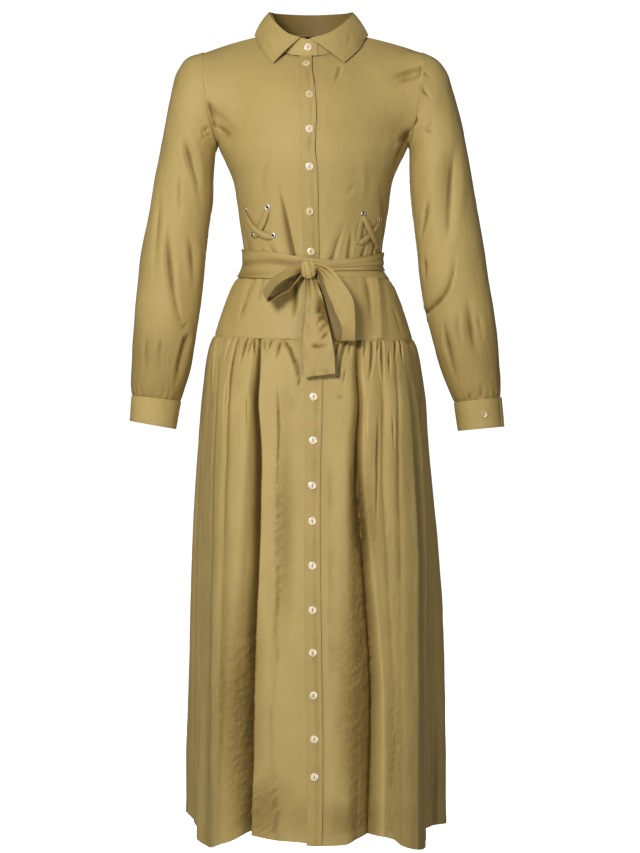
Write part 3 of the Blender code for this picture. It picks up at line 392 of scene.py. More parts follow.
def tucked(grid, edge, past, deep, closed=False):
    # two more rows that carry the cloth past a seam and under the piece beside it
    flipped = grid.transpose(1, 0, 2)
    sides = {"top": grid, "foot": grid[::-1], "last": flipped, "first": flipped[::-1]}
    ways = facing(grid, closed)
    down = {"top": ways[-1], "foot": ways[0], "last": ways[:, -1], "first": ways[:, 0]}[edge]
    rows = sides[edge]
    along = unit(rows[-1] - rows[-3])
    added = [rows[-1] + along * past * share * mm - down * deep * drop * mm
             for share, drop in ((0.25, 0.7), (1, 1))]
    rows = np.concatenate([rows, added])
    if edge in ("foot", "first"):
        rows = rows[::-1]
    return rows.transpose(1, 0, 2) if edge in ("first", "last") else rows


def runningMean(values, axis, reach, closed):
    pad = [(0, 0)] * values.ndim
    pad[axis] = (reach, reach)
    total = np.cumsum(np.pad(values, pad, mode="wrap" if closed and axis == 1 else "edge"), axis=axis)
    total = np.concatenate([np.zeros_like(np.take(total, [0], axis=axis)), total], axis=axis)
    count, window = total.shape[axis], 2 * reach + 1
    ahead, behind = np.arange(window, count), np.arange(count - window)
    return (np.take(total, ahead, axis=axis) - np.take(total, behind, axis=axis)) / window


# sizes of the painted fold shade: millimetres either way, depth that counts as full, weight
foldShadeSizes = [(6.0, 1.0, 0.42), (16.0, 3.4, 0.6), (42.0, 16.0, 0.55)]


def foldShadeAmount(grid, closed):
    # amount of painted shade: 0 on open cloth, 1 down in a fold or a seam
    normals = facing(grid, closed)
    total = np.zeros(grid.shape[:2])
    for reach, depth, weight in foldShadeSizes:
        mean = grid
        for axis in (0, 1):
            step = np.linalg.norm(np.diff(grid, axis=axis), axis=-1).mean() / mm
            cells = int(np.clip(round(reach / step), 1, grid.shape[axis] // 3))
            for _ in range(2):
                mean = runningMean(mean, axis, cells, closed)
        total += weight * np.clip(((mean - grid) * normals).sum(axis=-1) / (depth * mm), 0, 1)
    return np.clip(total, 0, 1)


def shell(name, grid, wall, closed=False, marks=None, finish="cloth", slot="dress_cloth", coarse=2, tucks=()):
    # thin closed shell: the fine grid outside, a coarser one a wall below, a rim round it
    if marks is not None:
        marks = np.broadcast_to(np.asarray(marks, float), grid.shape[:2])
    for edge, past, deep in tucks:
        grid = tucked(grid, edge, past, deep, closed)
        if marks is not None:
            pad = (0, 2) if edge in ("top", "last") else (2, 0)
            marks = np.pad(marks, (pad, (0, 0)) if edge in ("top", "foot") else ((0, 0), pad), mode="edge")
    rows, columns = grid.shape[:2]
    normals = facing(grid, closed)
    wraps = columns + 1 if closed else columns
    inRows, inColumns = np.arange(0, rows, coarse), np.arange(0, wraps, coarse)
    inside = (grid - normals * wall)[np.ix_(inRows, inColumns % columns)]
    if closed:
        inside = inside[:, :-1]
    start = rows * columns
    inWide = inside.shape[1]
    full = np.concatenate([grid, grid[:, :1]], axis=1) if closed else grid
    across = lengths(full.transpose(1, 0, 2)).T
    across = across - across[:, wraps // 2][:, None]
    along = np.broadcast_to(lengths(full).mean(axis=1)[:, None], across.shape)

    def outer(row, column):
        return row * columns + column % columns

    def inner(row, column):
        return start + (row // coarse) * inWide + (column // coarse) % inWide

    def quads(rowStep, columnStep):
        r, c = np.meshgrid(np.arange(0, rows - rowStep, rowStep), np.arange(0, wraps - columnStep, columnStep),
                           indexing="ij")
        r, c = r.ravel(), c.ravel()
        return [(r, c), (r, c + columnStep), (r + rowStep, c + columnStep), (r + rowStep, c)]

    faces, places = [], []
    for corners, pick in ((quads(1, 1), outer), (quads(coarse, coarse)[::-1], inner)):
        faces += np.stack([pick(r, c) for r, c in corners], axis=1).tolist()
        places.append(np.stack([np.stack([across[r, c], along[r, c]], -1) for r, c in corners], 1).reshape(-1, 2))

    def rim(cells):
        # cells run along the edge of the sheet, against its faces
        for index in range(0, len(cells) - coarse, coarse):
            run = cells[index:index + coarse + 1]
            faces.append([outer(*cell) for cell in run] + [inner(*run[-1]), inner(*run[0])])
            spots = run + [run[-1], run[0]]
            places.append(np.array([[across[r, c], along[r, c]] for r, c in spots]))

    rim([(0, c) for c in range(wraps - 1, -1, -1)])
    rim([(rows - 1, c) for c in range(wraps)])
    if not closed:
        rim([(r, columns - 1) for r in range(rows - 1, -1, -1)])
        rim([(r, 0) for r in range(rows)])
    mesh = bpy.data.meshes.new(name)
    points = np.vstack([grid.reshape(-1, 3), inside.reshape(-1, 3)])
    mesh.from_pydata(points.tolist(), [], faces)
    mesh.uv_layers.new(name="weave").data.foreach_set("uv", np.vstack(places).astype(np.float32).ravel())
    crinkle = np.zeros(len(points), np.float32)
    if marks is not None:
        crinkle[:start] = marks.ravel()
    mesh.attributes.new("crinkle", "FLOAT", "POINT").data.foreach_set("value", crinkle)
    # painted shade: crinkled cloth is darkened as if shaded by its own crinkles
    crinkleShade = 0.75 * np.maximum(crinkle[:start] - 0.1, 0)
    foldShade = np.minimum(foldShadeAmount(grid, closed).ravel() + crinkleShade, 1)
    # painted shade: the wrong side is darkened as if it lay in shade
    foldShade = np.concatenate([foldShade, np.full(len(points) - start, 0.6)])
    mesh.attributes.new("foldShade", "FLOAT", "POINT").data.foreach_set("value", foldShade.astype(np.float32))
    piece = finishMesh(name, mesh, finish)
    if slot == "dress_cloth":
        # the wrong side takes the darker copy of the cloth, painted shade inside the dress
        outside = (rows - 1) * (wraps - 1)
        within = len(quads(coarse, coarse)[0][0])
        mesh.materials.append(paints["inside"])
        picks = [0] * outside + [1] * within + [0] * (len(faces) - outside - within)
        mesh.polygons.foreach_set("material_index", picks)
    return piece


def finishMesh(name, mesh, finish):
    mesh.materials.append(paints[finish])
    mesh.polygons.foreach_set("use_smooth", [True] * len(mesh.polygons))
    mesh.set_sharp_from_angle(angle=smooth)
    mesh.update()
    piece = bpy.data.objects.new(name, mesh)
    bpy.context.scene.collection.objects.link(piece)
    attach(piece, "root")
    return piece


def stitchRow(name, lines, length=2.3, gap=0.9, thick=0.24, sink=0.06, finish="thread"):
    # thread stitches along lines of points: each line is points, facings
    count = 0
    points, faces = [], []
    for path, ways in lines:
        keys = lengths(path)
        pitch = (length + gap) * mm
        number = max(int(keys[-1] / pitch), 1)
        starts = np.arange(number) * keys[-1] / number + gap * mm / 2
        spots = [pull(path, keys, starts + share * length * mm) for share in (0.0, 0.2, 0.8, 1.0)]
        out = unit(pull(ways, keys, starts + length * mm / 2))
        side = unit(np.cross(spots[3] - spots[0], out)) * thick * mm
        rise = out * thick * mm
        lift = out * (thick - sink) * mm
        ring = []
        for spot in spots[1:3]:
            middle = spot + lift
            ring.append(np.stack([middle + side, middle + rise, middle - side, middle - rise], 1))
        block = np.concatenate([spots[0][:, None], ring[0], ring[1], spots[3][:, None]], axis=1)
        for index in range(number):
            base = count + index * 10
            for corner in range(4):
                beside = (corner + 1) % 4
                faces.append([base, base + 1 + beside, base + 1 + corner])
                faces.append([base + 1 + corner, base + 1 + beside, base + 5 + beside, base + 5 + corner])
                faces.append([base + 5 + corner, base + 5 + beside, base + 9])
        points.append(block.reshape(-1, 3))
        count += number * 10
    mesh = bpy.data.meshes.new(name)
    mesh.from_pydata(np.vstack(points).tolist(), [], faces)
    return finishMesh(name, mesh, finish)


def gridLine(grid, rowAt, columnAt, closed=False, lift=0.0):
    # a line over a surface, through fractional rows and columns
    rows, columns = grid.shape[:2]
    normals = facing(grid, closed)
    rowAt, columnAt = np.broadcast_arrays(np.asarray(rowAt, float), np.asarray(columnAt, float))
    row = np.clip(np.floor(rowAt).astype(int), 0, rows - 2)
    column = np.floor(columnAt).astype(int)
    if not closed:
        column = np.clip(column, 0, columns - 2)
    s, t = (rowAt - row)[:, None], (columnAt - column)[:, None]

    def read(values):
        left, right = column % columns, (column + 1) % columns
        return ((values[row, left] * (1 - t) + values[row, right] * t) * (1 - s)
                + (values[row + 1, left] * (1 - t) + values[row + 1, right] * t) * s)

    ways = unit(read(normals))
    return read(grid) + ways * lift * mm, ways


# ---- the shape of the dress

form = dict(
    waist=-395, hip=-491, hipDip=7, hipSlant=3, hem=-1303, squareness=2.2, gap=0.3,
    # height, half width, depth in front, depth behind
    sections=[
        (-176, 156.0, 120, 104), (-198, 147.0, 122, 104), (-214, 138.5, 122, 102), (-231, 132.5, 120, 99),
        (-264, 126.5, 115, 95), (-297, 122.0, 109, 92), (-330, 117.0, 104, 90), (-363, 113.0, 102, 90),
        (-378, 115.5, 103, 92), (-387, 120.0, 105, 95), (-396, 127.0, 107, 98), (-412, 136.0, 111, 104),
        (-429, 143.0, 115, 109), (-462, 154.5, 121, 118), (-500, 166.0, 126, 125),
    ],
    # height, place of the button line
    buttonLine=[
        (10, -9), (-35, -9), (-60, -7.5), (-100, -6), (-220, -5.5), (-290, -5), (-360, -3),
        (-450, 0), (-590, 1.4), (-730, -0.8), (-860, -0.8), (-1000, 0), (-1140, 2.2), (-1320, 2.8),
    ],
)


def cosine(turn):
    return np.cos(np.radians(turn))


def sine(turn):
    return np.sin(np.radians(turn))


def buttonLine(height):
    return follow(form["buttonLine"], 1, height)


def bodyPoint(height, turn):
    # height in mm, turn in degrees from the front towards the wearer's left
    height, turn = np.broadcast_arrays(np.asarray(height, float), np.asarray(turn, float))
    front = cosine(turn)
    depth = np.where(front > 0, follow(form["sections"], 2, height), follow(form["sections"], 3, height))
    across = follow(form["sections"], 1, height) * power(sine(turn), form["squareness"])
    aside = buttonLine(height) * np.maximum(front, 0) ** 2
    return np.stack([across + aside, -depth * power(front, form["squareness"]), height], -1) * mm


def hipSeam(turn):
    return form["hip"] - form["hipDip"] * np.maximum(cosine(turn), 0) - form["hipSlant"] * sine(turn)


def sideTurn(height, back):
    depth = follow(form["sections"], 3 if back else 2, height)
    return np.degrees(np.arccos((form["gap"] / 2 / depth) ** (form["squareness"] / 2)))


def edgeTurn(height, distance):
    half = follow(form["sections"], 1, height)
    return np.sign(distance) * np.degrees(np.arcsin((np.abs(distance) / half) ** (form["squareness"] / 2)))


# ---- bodice

bodice = dict(
    wall=0.9, edgeRight=-11.5, edgeLeft=-8, rows=170, frontColumns=101, backColumns=161,
    neckShare=0.46, chestBulge=14, backBulge=19, shoulderBulge=2.5, easing=5,
    armpitPoint=(156, 0, -176), shoulderTip=(179.5, 0, -20.5), armholeDepth=57, armholeBow=8,
    neckWidth=70, neckFront=60, neckBack=62, foldWidth=66.5, foldFront=55, foldBack=57, neckShift=-3.5,
    # degrees from the front, height of the neck seam, height of the collar fold
    neckLine=[
        (0, -34, -6), (25, -30, 3), (50, -17, 20), (75, 1, 39), (90, 10, 45.5),
        (120, 14, 47.5), (150, 16, 48.5), (180, 16.5, 48.5),
    ],
    heights=[-394.85, -384.5, -372.5, -345, -305, -265, -232, -203, -176],
    shares=[0.125, 0.25, 0.375, 0.5, 0.625, 0.75, 0.875, 1.0],
    places=[0.0, 0.092, 0.184, 0.276, 0.368, 0.46, 0.59, 0.73, 0.87, 1.0],
)


def neckPoint(turn, column, half, front, back):
    turn = np.asarray(turn, float)
    depth = np.where(cosine(turn) > 0, front, back)
    shift = bodice["neckShift"]
    shift = shift + (buttonLine(-30.0) - shift) * np.maximum(cosine(turn), 0) ** 2
    height = follow(bodice["neckLine"], column, np.abs(turned(turn)))
    return np.stack([half * sine(turn) + shift, -depth * cosine(turn), height], -1) * mm


def neckSeam(turn):
    return neckPoint(turn, 1, bodice["neckWidth"], bodice["neckFront"], bodice["neckBack"])


def standFold(turn):
    return neckPoint(turn, 2, bodice["foldWidth"], bodice["foldFront"], bodice["foldBack"])


def armholePoint(side, turn):
    # turn 0 at the armpit, 90 in front, 180 at the shoulder tip
    turn = np.asarray(turn, float)
    low, high = np.array(bodice["armpitPoint"]), np.array(bodice["shoulderTip"])
    middle, reach = (low + high) / 2, (low - high) / 2
    x = middle[0] + reach[0] * cosine(turn) + bodice["armholeBow"] * sine(turn) ** 2
    z = middle[2] + reach[2] * cosine(turn)
    return np.stack([x * side, -bodice["armholeDepth"] * sine(turn), z], -1) * mm


def halfBodice(side, back):
    places, split = np.array(bodice["places"]), bodice["neckShare"]
    drop = np.array([0, 0, -form["gap"]]) * mm
    rows = []
    for height in bodice["heights"]:
        turns = sideTurn(height, back) * places
        rows.append(bodyPoint(height, (180 - turns if back else turns) * side))
    foot = rows[-1]
    turns = 90 * np.minimum(places / split, 1)
    neck = neckSeam((180 - turns if back else turns) * side) + drop
    out = ((places - split) / (1 - split)).clip(0, 1)[:, None]
    inner, outer = neckSeam(90.0 * side) + drop, armholePoint(side, 180)
    shoulder = inner + (outer - inner) * out
    shoulder[:, 2] += bodice["shoulderBulge"] * mm * 4 * out[:, 0] * (1 - out[:, 0])
    shoulder[:, 1] = inner[1] * (1 - out[:, 0])
    top = np.where((places <= split)[:, None], neck, shoulder)
    bulge = bodice["backBulge"] if back else bodice["chestBulge"]
    bow = np.array([0, bulge if back else -bulge, 0.25 * bulge]) * mm
    blend = (places**1.5)[:, None]
    upper = []
    for share in bodice["shares"]:
        middle = foot[0] + (top[0] - foot[0]) * share + bow * 4 * share * (1 - share)
        edge = armholePoint(side, 360 - 180 * share if back else 180 * share)
        ruled = foot * (1 - share) + top * share
        flat = (foot[0] * (1 - blend) + foot[-1] * blend) * (1 - share)
        flat = flat + (top[0] * (1 - blend) + top[-1] * blend) * share
        row = ruled + middle * (1 - blend) + edge * blend - flat
        gap = (form["gap"] / 2) * mm * (1 if back else -1) * ease(0.9, 1.0, share)
        row[:, 1] += np.where(places >= split, gap, 0)
        upper.append(row)
    for _ in range(bodice["easing"]):
        every = [foot] + upper
        for level in range(len(upper) - 1):
            row, above, below = upper[level], upper[level + 1], every[level]
            row[1:-1] = row[1:-1] * 0.4 + (row[:-2] + row[2:]) * 0.2 + (above[1:-1] + below[1:-1]) * 0.1
    return np.array(rows + upper)


def fineHalf(side, back):
    grid = halfBodice(side, back)
    keys = lengths(grid)[:, 0]
    grid = pull(grid, keys, np.linspace(0, keys[-1], bodice["rows"] + 1))
    fine = np.linspace(0, 1, 141)
    return pull(grid.transpose(1, 0, 2), bodice["places"], fine).transpose(1, 0, 2)


def cut(grid, middle, first, last, columns):
    # strip of a surface between two distances from its middle column, row by row
    run = lengths(grid.transpose(1, 0, 2)).T
    run = run - run[:, middle][:, None]
    rows = []
    for row, keys in zip(grid, run):
        start = keys[0] if first is None else first * mm
        stop = keys[-1] if last is None else last * mm
        at = np.linspace(start, stop, columns)
        rows.append(np.stack([np.interp(at, keys, row[:, axis]) for axis in range(3)], -1))
    return np.array(rows)


rightFront, leftFront = fineHalf(-1, False), fineHalf(1, False)
rightBack, leftBack = fineHalf(-1, True), fineHalf(1, True)
frontGrid = np.concatenate([rightFront[:, ::-1], leftFront[:, 1:]], axis=1)
backGrid = np.concatenate([leftBack[:, ::-1], rightBack[:, 1:]], axis=1)
middleColumn = rightFront.shape[1] - 1
print("bodice drafted")

creases = dict(
    frontRight=[
        (14.1, 4.3, 0.1, 1, -178.7, -121.1, -159.4, -140.4, -138.4, -161.4, -120.7, -188.8),
        (4.9, 1.7, 0, 1, -176.3, -109.8, -161, -122.7, -143.3, -139.6, -117.5, -163.8),
        (3, 2.7, 0, 1, -170.7, -143.6, -163.4, -161.4, -155.3, -181.5),
        (2.3, 1.9, 0, 1, -173.9, -154.9, -169.9, -171, -161, -187.1),
        (2.8, 1.8, 0, 0, -162.6, -143.6, -151.3, -153.3, -135.2, -161.4),
        (6.5, 6.4, -0.35, 1, -27.2, -375.8, -34.4, -348.3, -43.3, -307.1, -50.1, -269.4, -61.7, -230.7),
        (2.8, 2.2, 0, 1, -54.6, -374.1, -65.9, -351.6, -75.5, -337.1),
        (2.6, 1.9, 0, 1, -67.5, -372.5, -78.8, -354.8, -88.4, -343.5),
        (9, 2.2, 0, 1, -101.3, -372.5, -107.8, -337.1, -117.5, -296.8),
        (6.5, -1.8, 0, 0, -82, -280.6, -69.1, -224.2, -65.9, -175.9),
    ],
    frontLeft=[
        (12.4, 4.2, 0, 1, 175.9, -47.7, 155, -54.2, 130.8, -66.2, 92.1, -98.5),
        (9.2, 3, 0, 1, 171.1, -66.2, 146.9, -74.3, 117.9, -92),
        (3, 1.6, 0, 1, 42.1, -53.4, 38.1, -69.5, 32.5, -88),
        (11.6, 4.3, 0, 1, 114.7, -372.5, 117.9, -312.9, 114.7, -272.6, 105, -224.2),
        (3.9, 1.1, 0, 0, 69.5, -242, 61.5, -256.5, 51.5, -272.3),
        (4.3, 2.4, 0, 1, 30.8, -369.3, 40.5, -337.1, 55, -303.2),
        (3.3, 2.2, 0, 1, 56.6, -369.3, 59.9, -337.1, 63.1, -308),
        (3, 2.2, 0, 1, 79.2, -366.1, 88.9, -333.8),
        (11.6, 6.1, 0, 1, 156.6, -163, 148.5, -180.7, 137.2, -201.7, 127.6, -227.4),
        (3.9, 1.9, 0, 1, 155, -159.7, 140.5, -172.6, 119.5, -190.4),
        (2.8, 1.8, 0, 1, 95.3, -366.1, 100.2, -346.7, 98.5, -324.2),
        (6.5, -1.4, 0, 0, 79.2, -192, 82.4, -240.3, 80.8, -280.6),
    ],
    basqueRight=[
        (4.9, 4.8, 0, 1, -32.1, -394.8, -27.2, -427.1, -29.7, -452.9, -33.7, -475.5),
        (6.2, 2.1, 0, 1, -97.6, -394.8, -109.6, -433.5, -120.8, -469),
        (4.9, 1.5, 0, 0, -106.3, -427.1, -116, -452.9, -125.7, -481.9),
        (4.9, 2.1, 0, 1, -124.1, -391.6, -135.4, -420.6, -148.3, -456.1),
        (3.7, 1.5, 0, 1, -80.5, -398, -87, -427.1, -90.2, -449.7),
        (3.7, 1.4, 0, 1, -66, -401.2, -67.6, -427.1),
    ],
    basqueLeft=[
        (7.4, -3, 0, 2, 101.9, -385.1, 106.7, -433.5, 110, -494.9),
        (6.2, 2.4, 0, 1, 85.7, -381.9, 90.6, -430.3, 93.8, -481.9),
        (6.2, 2.5, 0, 1, 121.3, -381.9, 137.4, -414.2, 148.7, -452.9),
        (3.7, 1.5, 0, 1, 114.8, -385.1, 126.1, -410.9),
        (4.9, 1.5, 0, 1, 69.6, -385.1, 74.4, -433.5),
        (3.7, 1.5, 0, 0, 126.1, -433.5, 139, -469, 145.5, -494.9),
    ],
    skirtRight=[
        (2.5, 8, 0.2, 1, -155.7, -494.3, -159.9, -518.4, -162.3, -550.4, -163.9, -598.5),
        (2.3, 4.4, 0.2, 1, -131.1, -494.3, -138.3, -518.4, -144.7, -540.8),
        (2.7, 6.4, 0.2, 1, -107.8, -494.3, -112.7, -515.1, -119.1, -540.8),
        (1.9, 3.9, 0.1, 1, -98.2, -494.3, -102.2, -508.7, -106.2, -526.4),
        (1.5, 4.6, 0, 1, -93, -494.3, -93, -511.9, -93, -532.8),
        (1.9, 3.3, 0, 1, -78.9, -495.9, -76.9, -511.9, -74.2, -526.4),
        (2.3, 3.9, 0, 1, -66, -495.9, -70.2, -508.7, -74.7, -521.6),
        (2.5, 3.9, 0.1, 1, -50, -495.9, -55.8, -515.1, -61.4, -537.6),
        (2.5, 5.6, 0.3, 1, -45.5, -494.3, -33.4, -520, -23.7, -544, -21.5, -579.2, -22.1, -627.3),
        (2.1, 3.3, 0, 1, -36.6, -495.9, -34.2, -511.9, -31.8, -526.4),
        (1.9, 2.9, 0, 1, -145.5, -495.9, -149.5, -515.1, -151.9, -531.2),
        (2.1, 3.6, 0.2, 1, -120.7, -495.9, -126.3, -518.4, -131.9, -550.4, -134, -604.9, -134.3, -688.2),
        (1.7, 1.8, 0, 0, -139.1, -550.4, -142.3, -595.2, -143.9, -659.3),
        (2.3, 2.1, 0, 0, -107, -563.2, -105.4, -611.3, -107, -675.3),
        (2.3, 2.5, 0, 0, -59, -550.4, -54.2, -611.3, -54.2, -691.4, -57.4, -755.4),
    ],
    skirtLeft=[
        (2.3, 4.4, 0, 1, 41.6, -499.1, 37.9, -515.1, 36.3, -531.2),
        (2.5, 5.4, 0.1, 1, 53.2, -500.1, 49.9, -515.1, 45.1, -531.2, 40.3, -556.8),
        (1.9, 2.9, 0, 1, 60.2, -499.1, 59.6, -515.1, 58, -529.6),
        (1.9, 3.9, 0, 1, 85.2, -499.1, 83.6, -518.4, 82.8, -536),
        (2.6, 5.1, 0, 1, 96.7, -499.1, 96.4, -524.8, 94, -547.2, 86.8, -572.8),
        (1.9, 3.6, 0, 1, 107, -499.1, 104.4, -511.9, 102, -523.2),
        (2.1, 5.6, 0, 1, 112.4, -499.1, 112.7, -531.2, 113.4, -584),
        (2.3, 3.6, 0, 0, 123.6, -508.7, 123.6, -534.4, 123.6, -566.4),
        (2.3, 4.4, 0, 1, 133.9, -499.1, 133.3, -518.4, 132.3, -539.2),
        (2.1, 4.6, 0, 1, 142.9, -499.1, 144.5, -518.4, 146.7, -540.8),
        (1.9, 3.3, 0, 0, 45.9, -518.4, 40.3, -550.4, 37.9, -585.6),
        (1.7, 2.9, 0, 0, 127.8, -608.1, 130, -646.5, 131.3, -688.2),
        (1.7, 2.5, 0, 0, 54.8, -540.8, 49.9, -560, 45.1, -582.4),
        (1.5, 2.1, 0, 0, 48.3, -571.2, 43.5, -588.8, 40.3, -601.7),
        (2.3, 2.5, 0, 0, 88.4, -582.4, 85.2, -627.3, 86.8, -675.3),
        (2.3, 2.9, 0, 0, 106, -595.2, 104.4, -659.3, 102.8, -755.4, 101.2, -835.5),
    ],
    sleeveRight=[
        (6.6, 7, -0.2, 0, -215.6, -159.8, -208.1, -179.4, -197.7, -212, -188.7, -244.7, -182.9, -292.1),
        (5.5, 6.2, -0.2, 0, -239.3, -287.2, -237.2, -346, -230.3, -404.9, -219.2, -458.8, -205.8, -489.8),
        (6.6, 4.3, 0, 0, -205.8, -313.4, -197, -368.9, -196.3, -424.5),
        (3.3, 2.1, 0, 0, -219.2, -208.8, -217.3, -266, -217.3, -326.4),
        (5.5, 3.2, 0, 0, -249.9, -234.9, -254.8, -328.1, -262.2, -440.8),
        (5.5, 5, 0, 1, -207.5, -496.4, -215.6, -522.5, -222.2, -555.2, -232, -592.8),
        (2.4, 1.9, 0, 1, -171.5, -148.3, -179.7, -158.1, -172.3, -169.6),
        (2.4, 1.3, 0, 1, -169.9, -159.8, -181.3, -167.9, -186.2, -184.3),
        (3.3, 0.9, 0, 1, -181.3, -87.9, -194.4, -81.3, -207.5, -75.6),
        (2.4, 1.8, 0, 0, -223.8, -535.6, -217.3, -548.6, -212.4, -558.5),
        (4.4, 2.4, 0, 0, -271.2, -480, -274.4, -520.9, -269.5, -568.3),
        (3.3, 1.8, 0, 0, -245, -480, -249.9, -516, -249.9, -568.3),
        (2.2, 0.7, 0, 0, -191.1, -231.7, -186.2, -241.5, -179.7, -248),
        (2.2, 1.8, 0, 0, -200.9, -463.7, -210.7, -473.5, -220.5, -478.4),
    ],
    sleeveLeft=[
        (4.8, 2.8, 0, 0, 174.9, -154.9, 186.3, -154, 196.1, -159.8, 199.4, -167.9),
        (4, 1.9, 0, 0, 189.6, -133.6, 194.5, -146.7, 199.4, -161.4),
        (4, 1.4, 0, 0, 181.4, -166.3, 191.2, -164.7, 197.8, -159.8),
        (12.1, 8.6, 0, 0, 235.4, -169.6, 228.8, -205.5, 223.1, -264.3, 219, -319.9, 209.2, -372.2),
        (4.4, 4.7, 0, 0, 190.6, -254.5, 182.3, -300.3, 176.5, -342.8),
        (4.4, 5.7, 0.2, 1, 184.7, -453.9, 194.5, -442.4, 212.2, -426.1, 224.7, -403.2, 230.5, -368.9,
         232.1, -333),
        (4.4, 4, 0, 0, 180.9, -352.6, 183.9, -378.7, 185.5, -408.1),
        (5.5, 5, 0, 0, 212.5, -450.6, 218.2, -496.4, 228.8, -538.8, 238.6, -569.9),
        (8.7, 5.4, 0, 0, 250.1, -408.1, 255.8, -466.9, 263.1, -509.4, 279.5, -529),
        (5.5, 2.8, 0, 0, 240.3, -431, 237, -480, 241.9, -516),
        (4.4, 2.2, 0, 0, 269.7, -431, 272.9, -480, 282.7, -512.7),
        (3.3, 2.5, 0, 1, 272.9, -596, 274.6, -578.1, 276.2, -558.5),
        (2.6, 1.9, 0, 1, 253.3, -596, 256.6, -578.1),
        (3.3, 2.2, 0, 1, 171.6, -84.6, 184.7, -94.4, 196.1, -110.7),
        (3.3, 1.9, 0, 1, 173.3, -58.4, 186.3, -61.7, 197.8, -71.5),
    ],
    tailOver=[
        (5.4, 8.6, 0, 0, 8.3, -419.3, 13.1, -443.3, 21.1, -470.5, 29.1, -496.1),
        (3.6, 4.3, 0, 0, 14.7, -441.7, 8.3, -454.5, 0.3, -464.1),
        (3.1, 3.8, 0, 0, 17.9, -454.5, 9.9, -468.9, 5.1, -483.3),
        (3.1, 3.6, 0, 0, 21.1, -467.3, 14.7, -480.1, 9.9, -494.5),
        (2.6, 2.6, 0, 0, 24.3, -483.3, 17.9, -492.9, 11.5, -500.9),
        (3.6, 3.2, 0, 0, -6.1, -505.7, 8.3, -510.5, 27.5, -505.7),
    ],
    back=[
        (7, 4.5, 0.1, 1, 172, -112, 150, -128, 122, -150, 98, -178),
        (4, 2.5, 0, 1, 176, -92, 152, -104, 128, -122),
        (6, 3.6, 0, 1, -174, -118, -148, -136, -118, -162),
        (3.4, 2.1, 0, 1, -178, -86, -150, -96, -126, -108),
        (9, 4.5, 0, 1, 62, -372, 68, -330, 74, -286, 70, -244),
        (5, 3.1, 0, 1, 34, -370, 38, -338, 46, -306),
        (4, 2.5, 0, 1, 92, -368, 96, -340, 94, -318),
        (8, 3.9, 0, 1, -48, -372, -54, -328, -66, -280, -68, -236),
        (4.4, 2.8, 0, 1, -82, -370, -88, -338, -94, -310),
        (5.4, 2.5, 0, 1, -18, -370, -14, -336, -16, -300),
        (11, 2.4, 0, 0, -96, -206, -40, -222, 22, -214, 84, -198),
        (8, -2, 0, 0, 12, -120, 16, -170, 10, -230),
        (6, 1.8, 0, 0, 128, -190, 120, -230, 112, -270),
    ],
    basqueBack=[
        (6, 2.9, 0, 1, 44, -392, 52, -426, 58, -466),
        (5, 2.2, 0, 1, -36, -394, -42, -430, -44, -470),
        (5, 1.8, 0, 1, 86, -392, 98, -428, 108, -464),
        (6, 2.3, 0, 1, -92, -392, -104, -424, -116, -470),
        (4, 1.6, 0, 1, 8, -394, 10, -424),
        (4, 1.4, 0, 1, -66, -396, -70, -420),
    ],
    skirtBack=[
        (2.7, 4.7, 0.1, 1, -150, -492, -156, -520, -158, -566),
        (2.2, 3.1, 0, 1, -136, -492, -139, -512, -142, -530),
        (2.9, 4.9, 0, 1, -117, -492, -121, -520, -127, -552),
        (2, 2.9, 0, 1, -101, -492, -103, -510, -106, -524),
        (2.7, 4.2, 0, 1, -84, -492, -86, -524, -84, -578),
        (2.2, 3.2, 0, 1, -70, -492, -73, -512, -77, -534),
        (2.9, 4.9, 0.2, 1, -49, -492, -47, -520, -42, -560, -40, -610),
        (2, 2.6, 0, 1, -33, -492, -33, -508, -31, -522),
        (2.5, 3.6, 0, 1, -15, -492, -18, -520, -19, -548),
        (2.2, 3.1, 0, 1, 3, -492, 4, -512, 7, -530),
        (2.9, 4.7, 0, 1, 21, -492, 20, -524, 24, -570, 26, -622),
        (2, 2.9, 0, 1, 38, -492, 40, -510, 43, -524),
        (2.7, 4.2, 0, 1, 57, -492, 60, -520, 58, -556),
        (2.2, 2.9, 0, 1, 73, -492, 72, -510, 70, -530),
        (2.9, 4.9, 0, 1, 92, -492, 95, -522, 101, -566),
        (2, 2.6, 0, 1, 108, -492, 110, -508, 113, -524),
        (2.7, 3.9, 0, 1, 127, -492, 131, -520, 133, -548),
        (2.2, 3.2, 0, 1, 146, -492, 150, -514, 154, -540),
        (3.1, 2.6, 0, 0, -98, -580, -94, -640, -98, -720),
        (2.7, 2.3, 0, 0, 66, -590, 70, -650, 68, -740),
        (2.7, 2.1, 0, 0, -6, -600, -10, -660, -6, -730),
    ],
    sleeveRightBack=[
        (9, 6, -0.2, 0, -236, -196, -228, -232, -214, -282, -208, -338),
        (7, 4.8, 0, 0, -252, -330, -246, -380, -232, -430, -218, -468),
        (8, 4.2, 0, 0, -196, -236, -200, -300, -206, -356),
        (5, 3, 0, 1, -168, -150, -182, -160, -200, -182),
        (5, 3.6, 0, 0, -216, -480, -226, -520, -234, -560),
        (7, 3, 0, 0, -266, -420, -270, -480, -264, -540),
        (4, 2.1, 0, 1, -178, -84, -194, -80, -210, -78),
        (3, 2.4, 0, 1, -240, -588, -242, -566, -244, -548),
    ],
    sleeveLeftBack=[
        (8, 5.7, 0.2, 0, 242, -184, 236, -228, 222, -272, 210, -316),
        (7, 4.5, 0, 0, 254, -346, 244, -392, 230, -424, 214, -452),
        (6, 3.9, 0, 0, 190, -214, 198, -262, 200, -324),
        (5, 3.3, 0, 1, 168, -140, 184, -156, 198, -176),
        (6, 3.6, 0, 0, 222, -470, 234, -512, 246, -556),
        (8, 3.3, 0, 0, 276, -430, 280, -486, 272, -536),
        (3.4, 2.2, 0, 1, 256, -590, 260, -568, 262, -552),
    ],
    collar=[
        (3, 1, 0, 0, -84, -4, -74, -14, -62, -22), (3.5, 1.1, 0, 0, -66, 22, -58, 4, -50, -14),
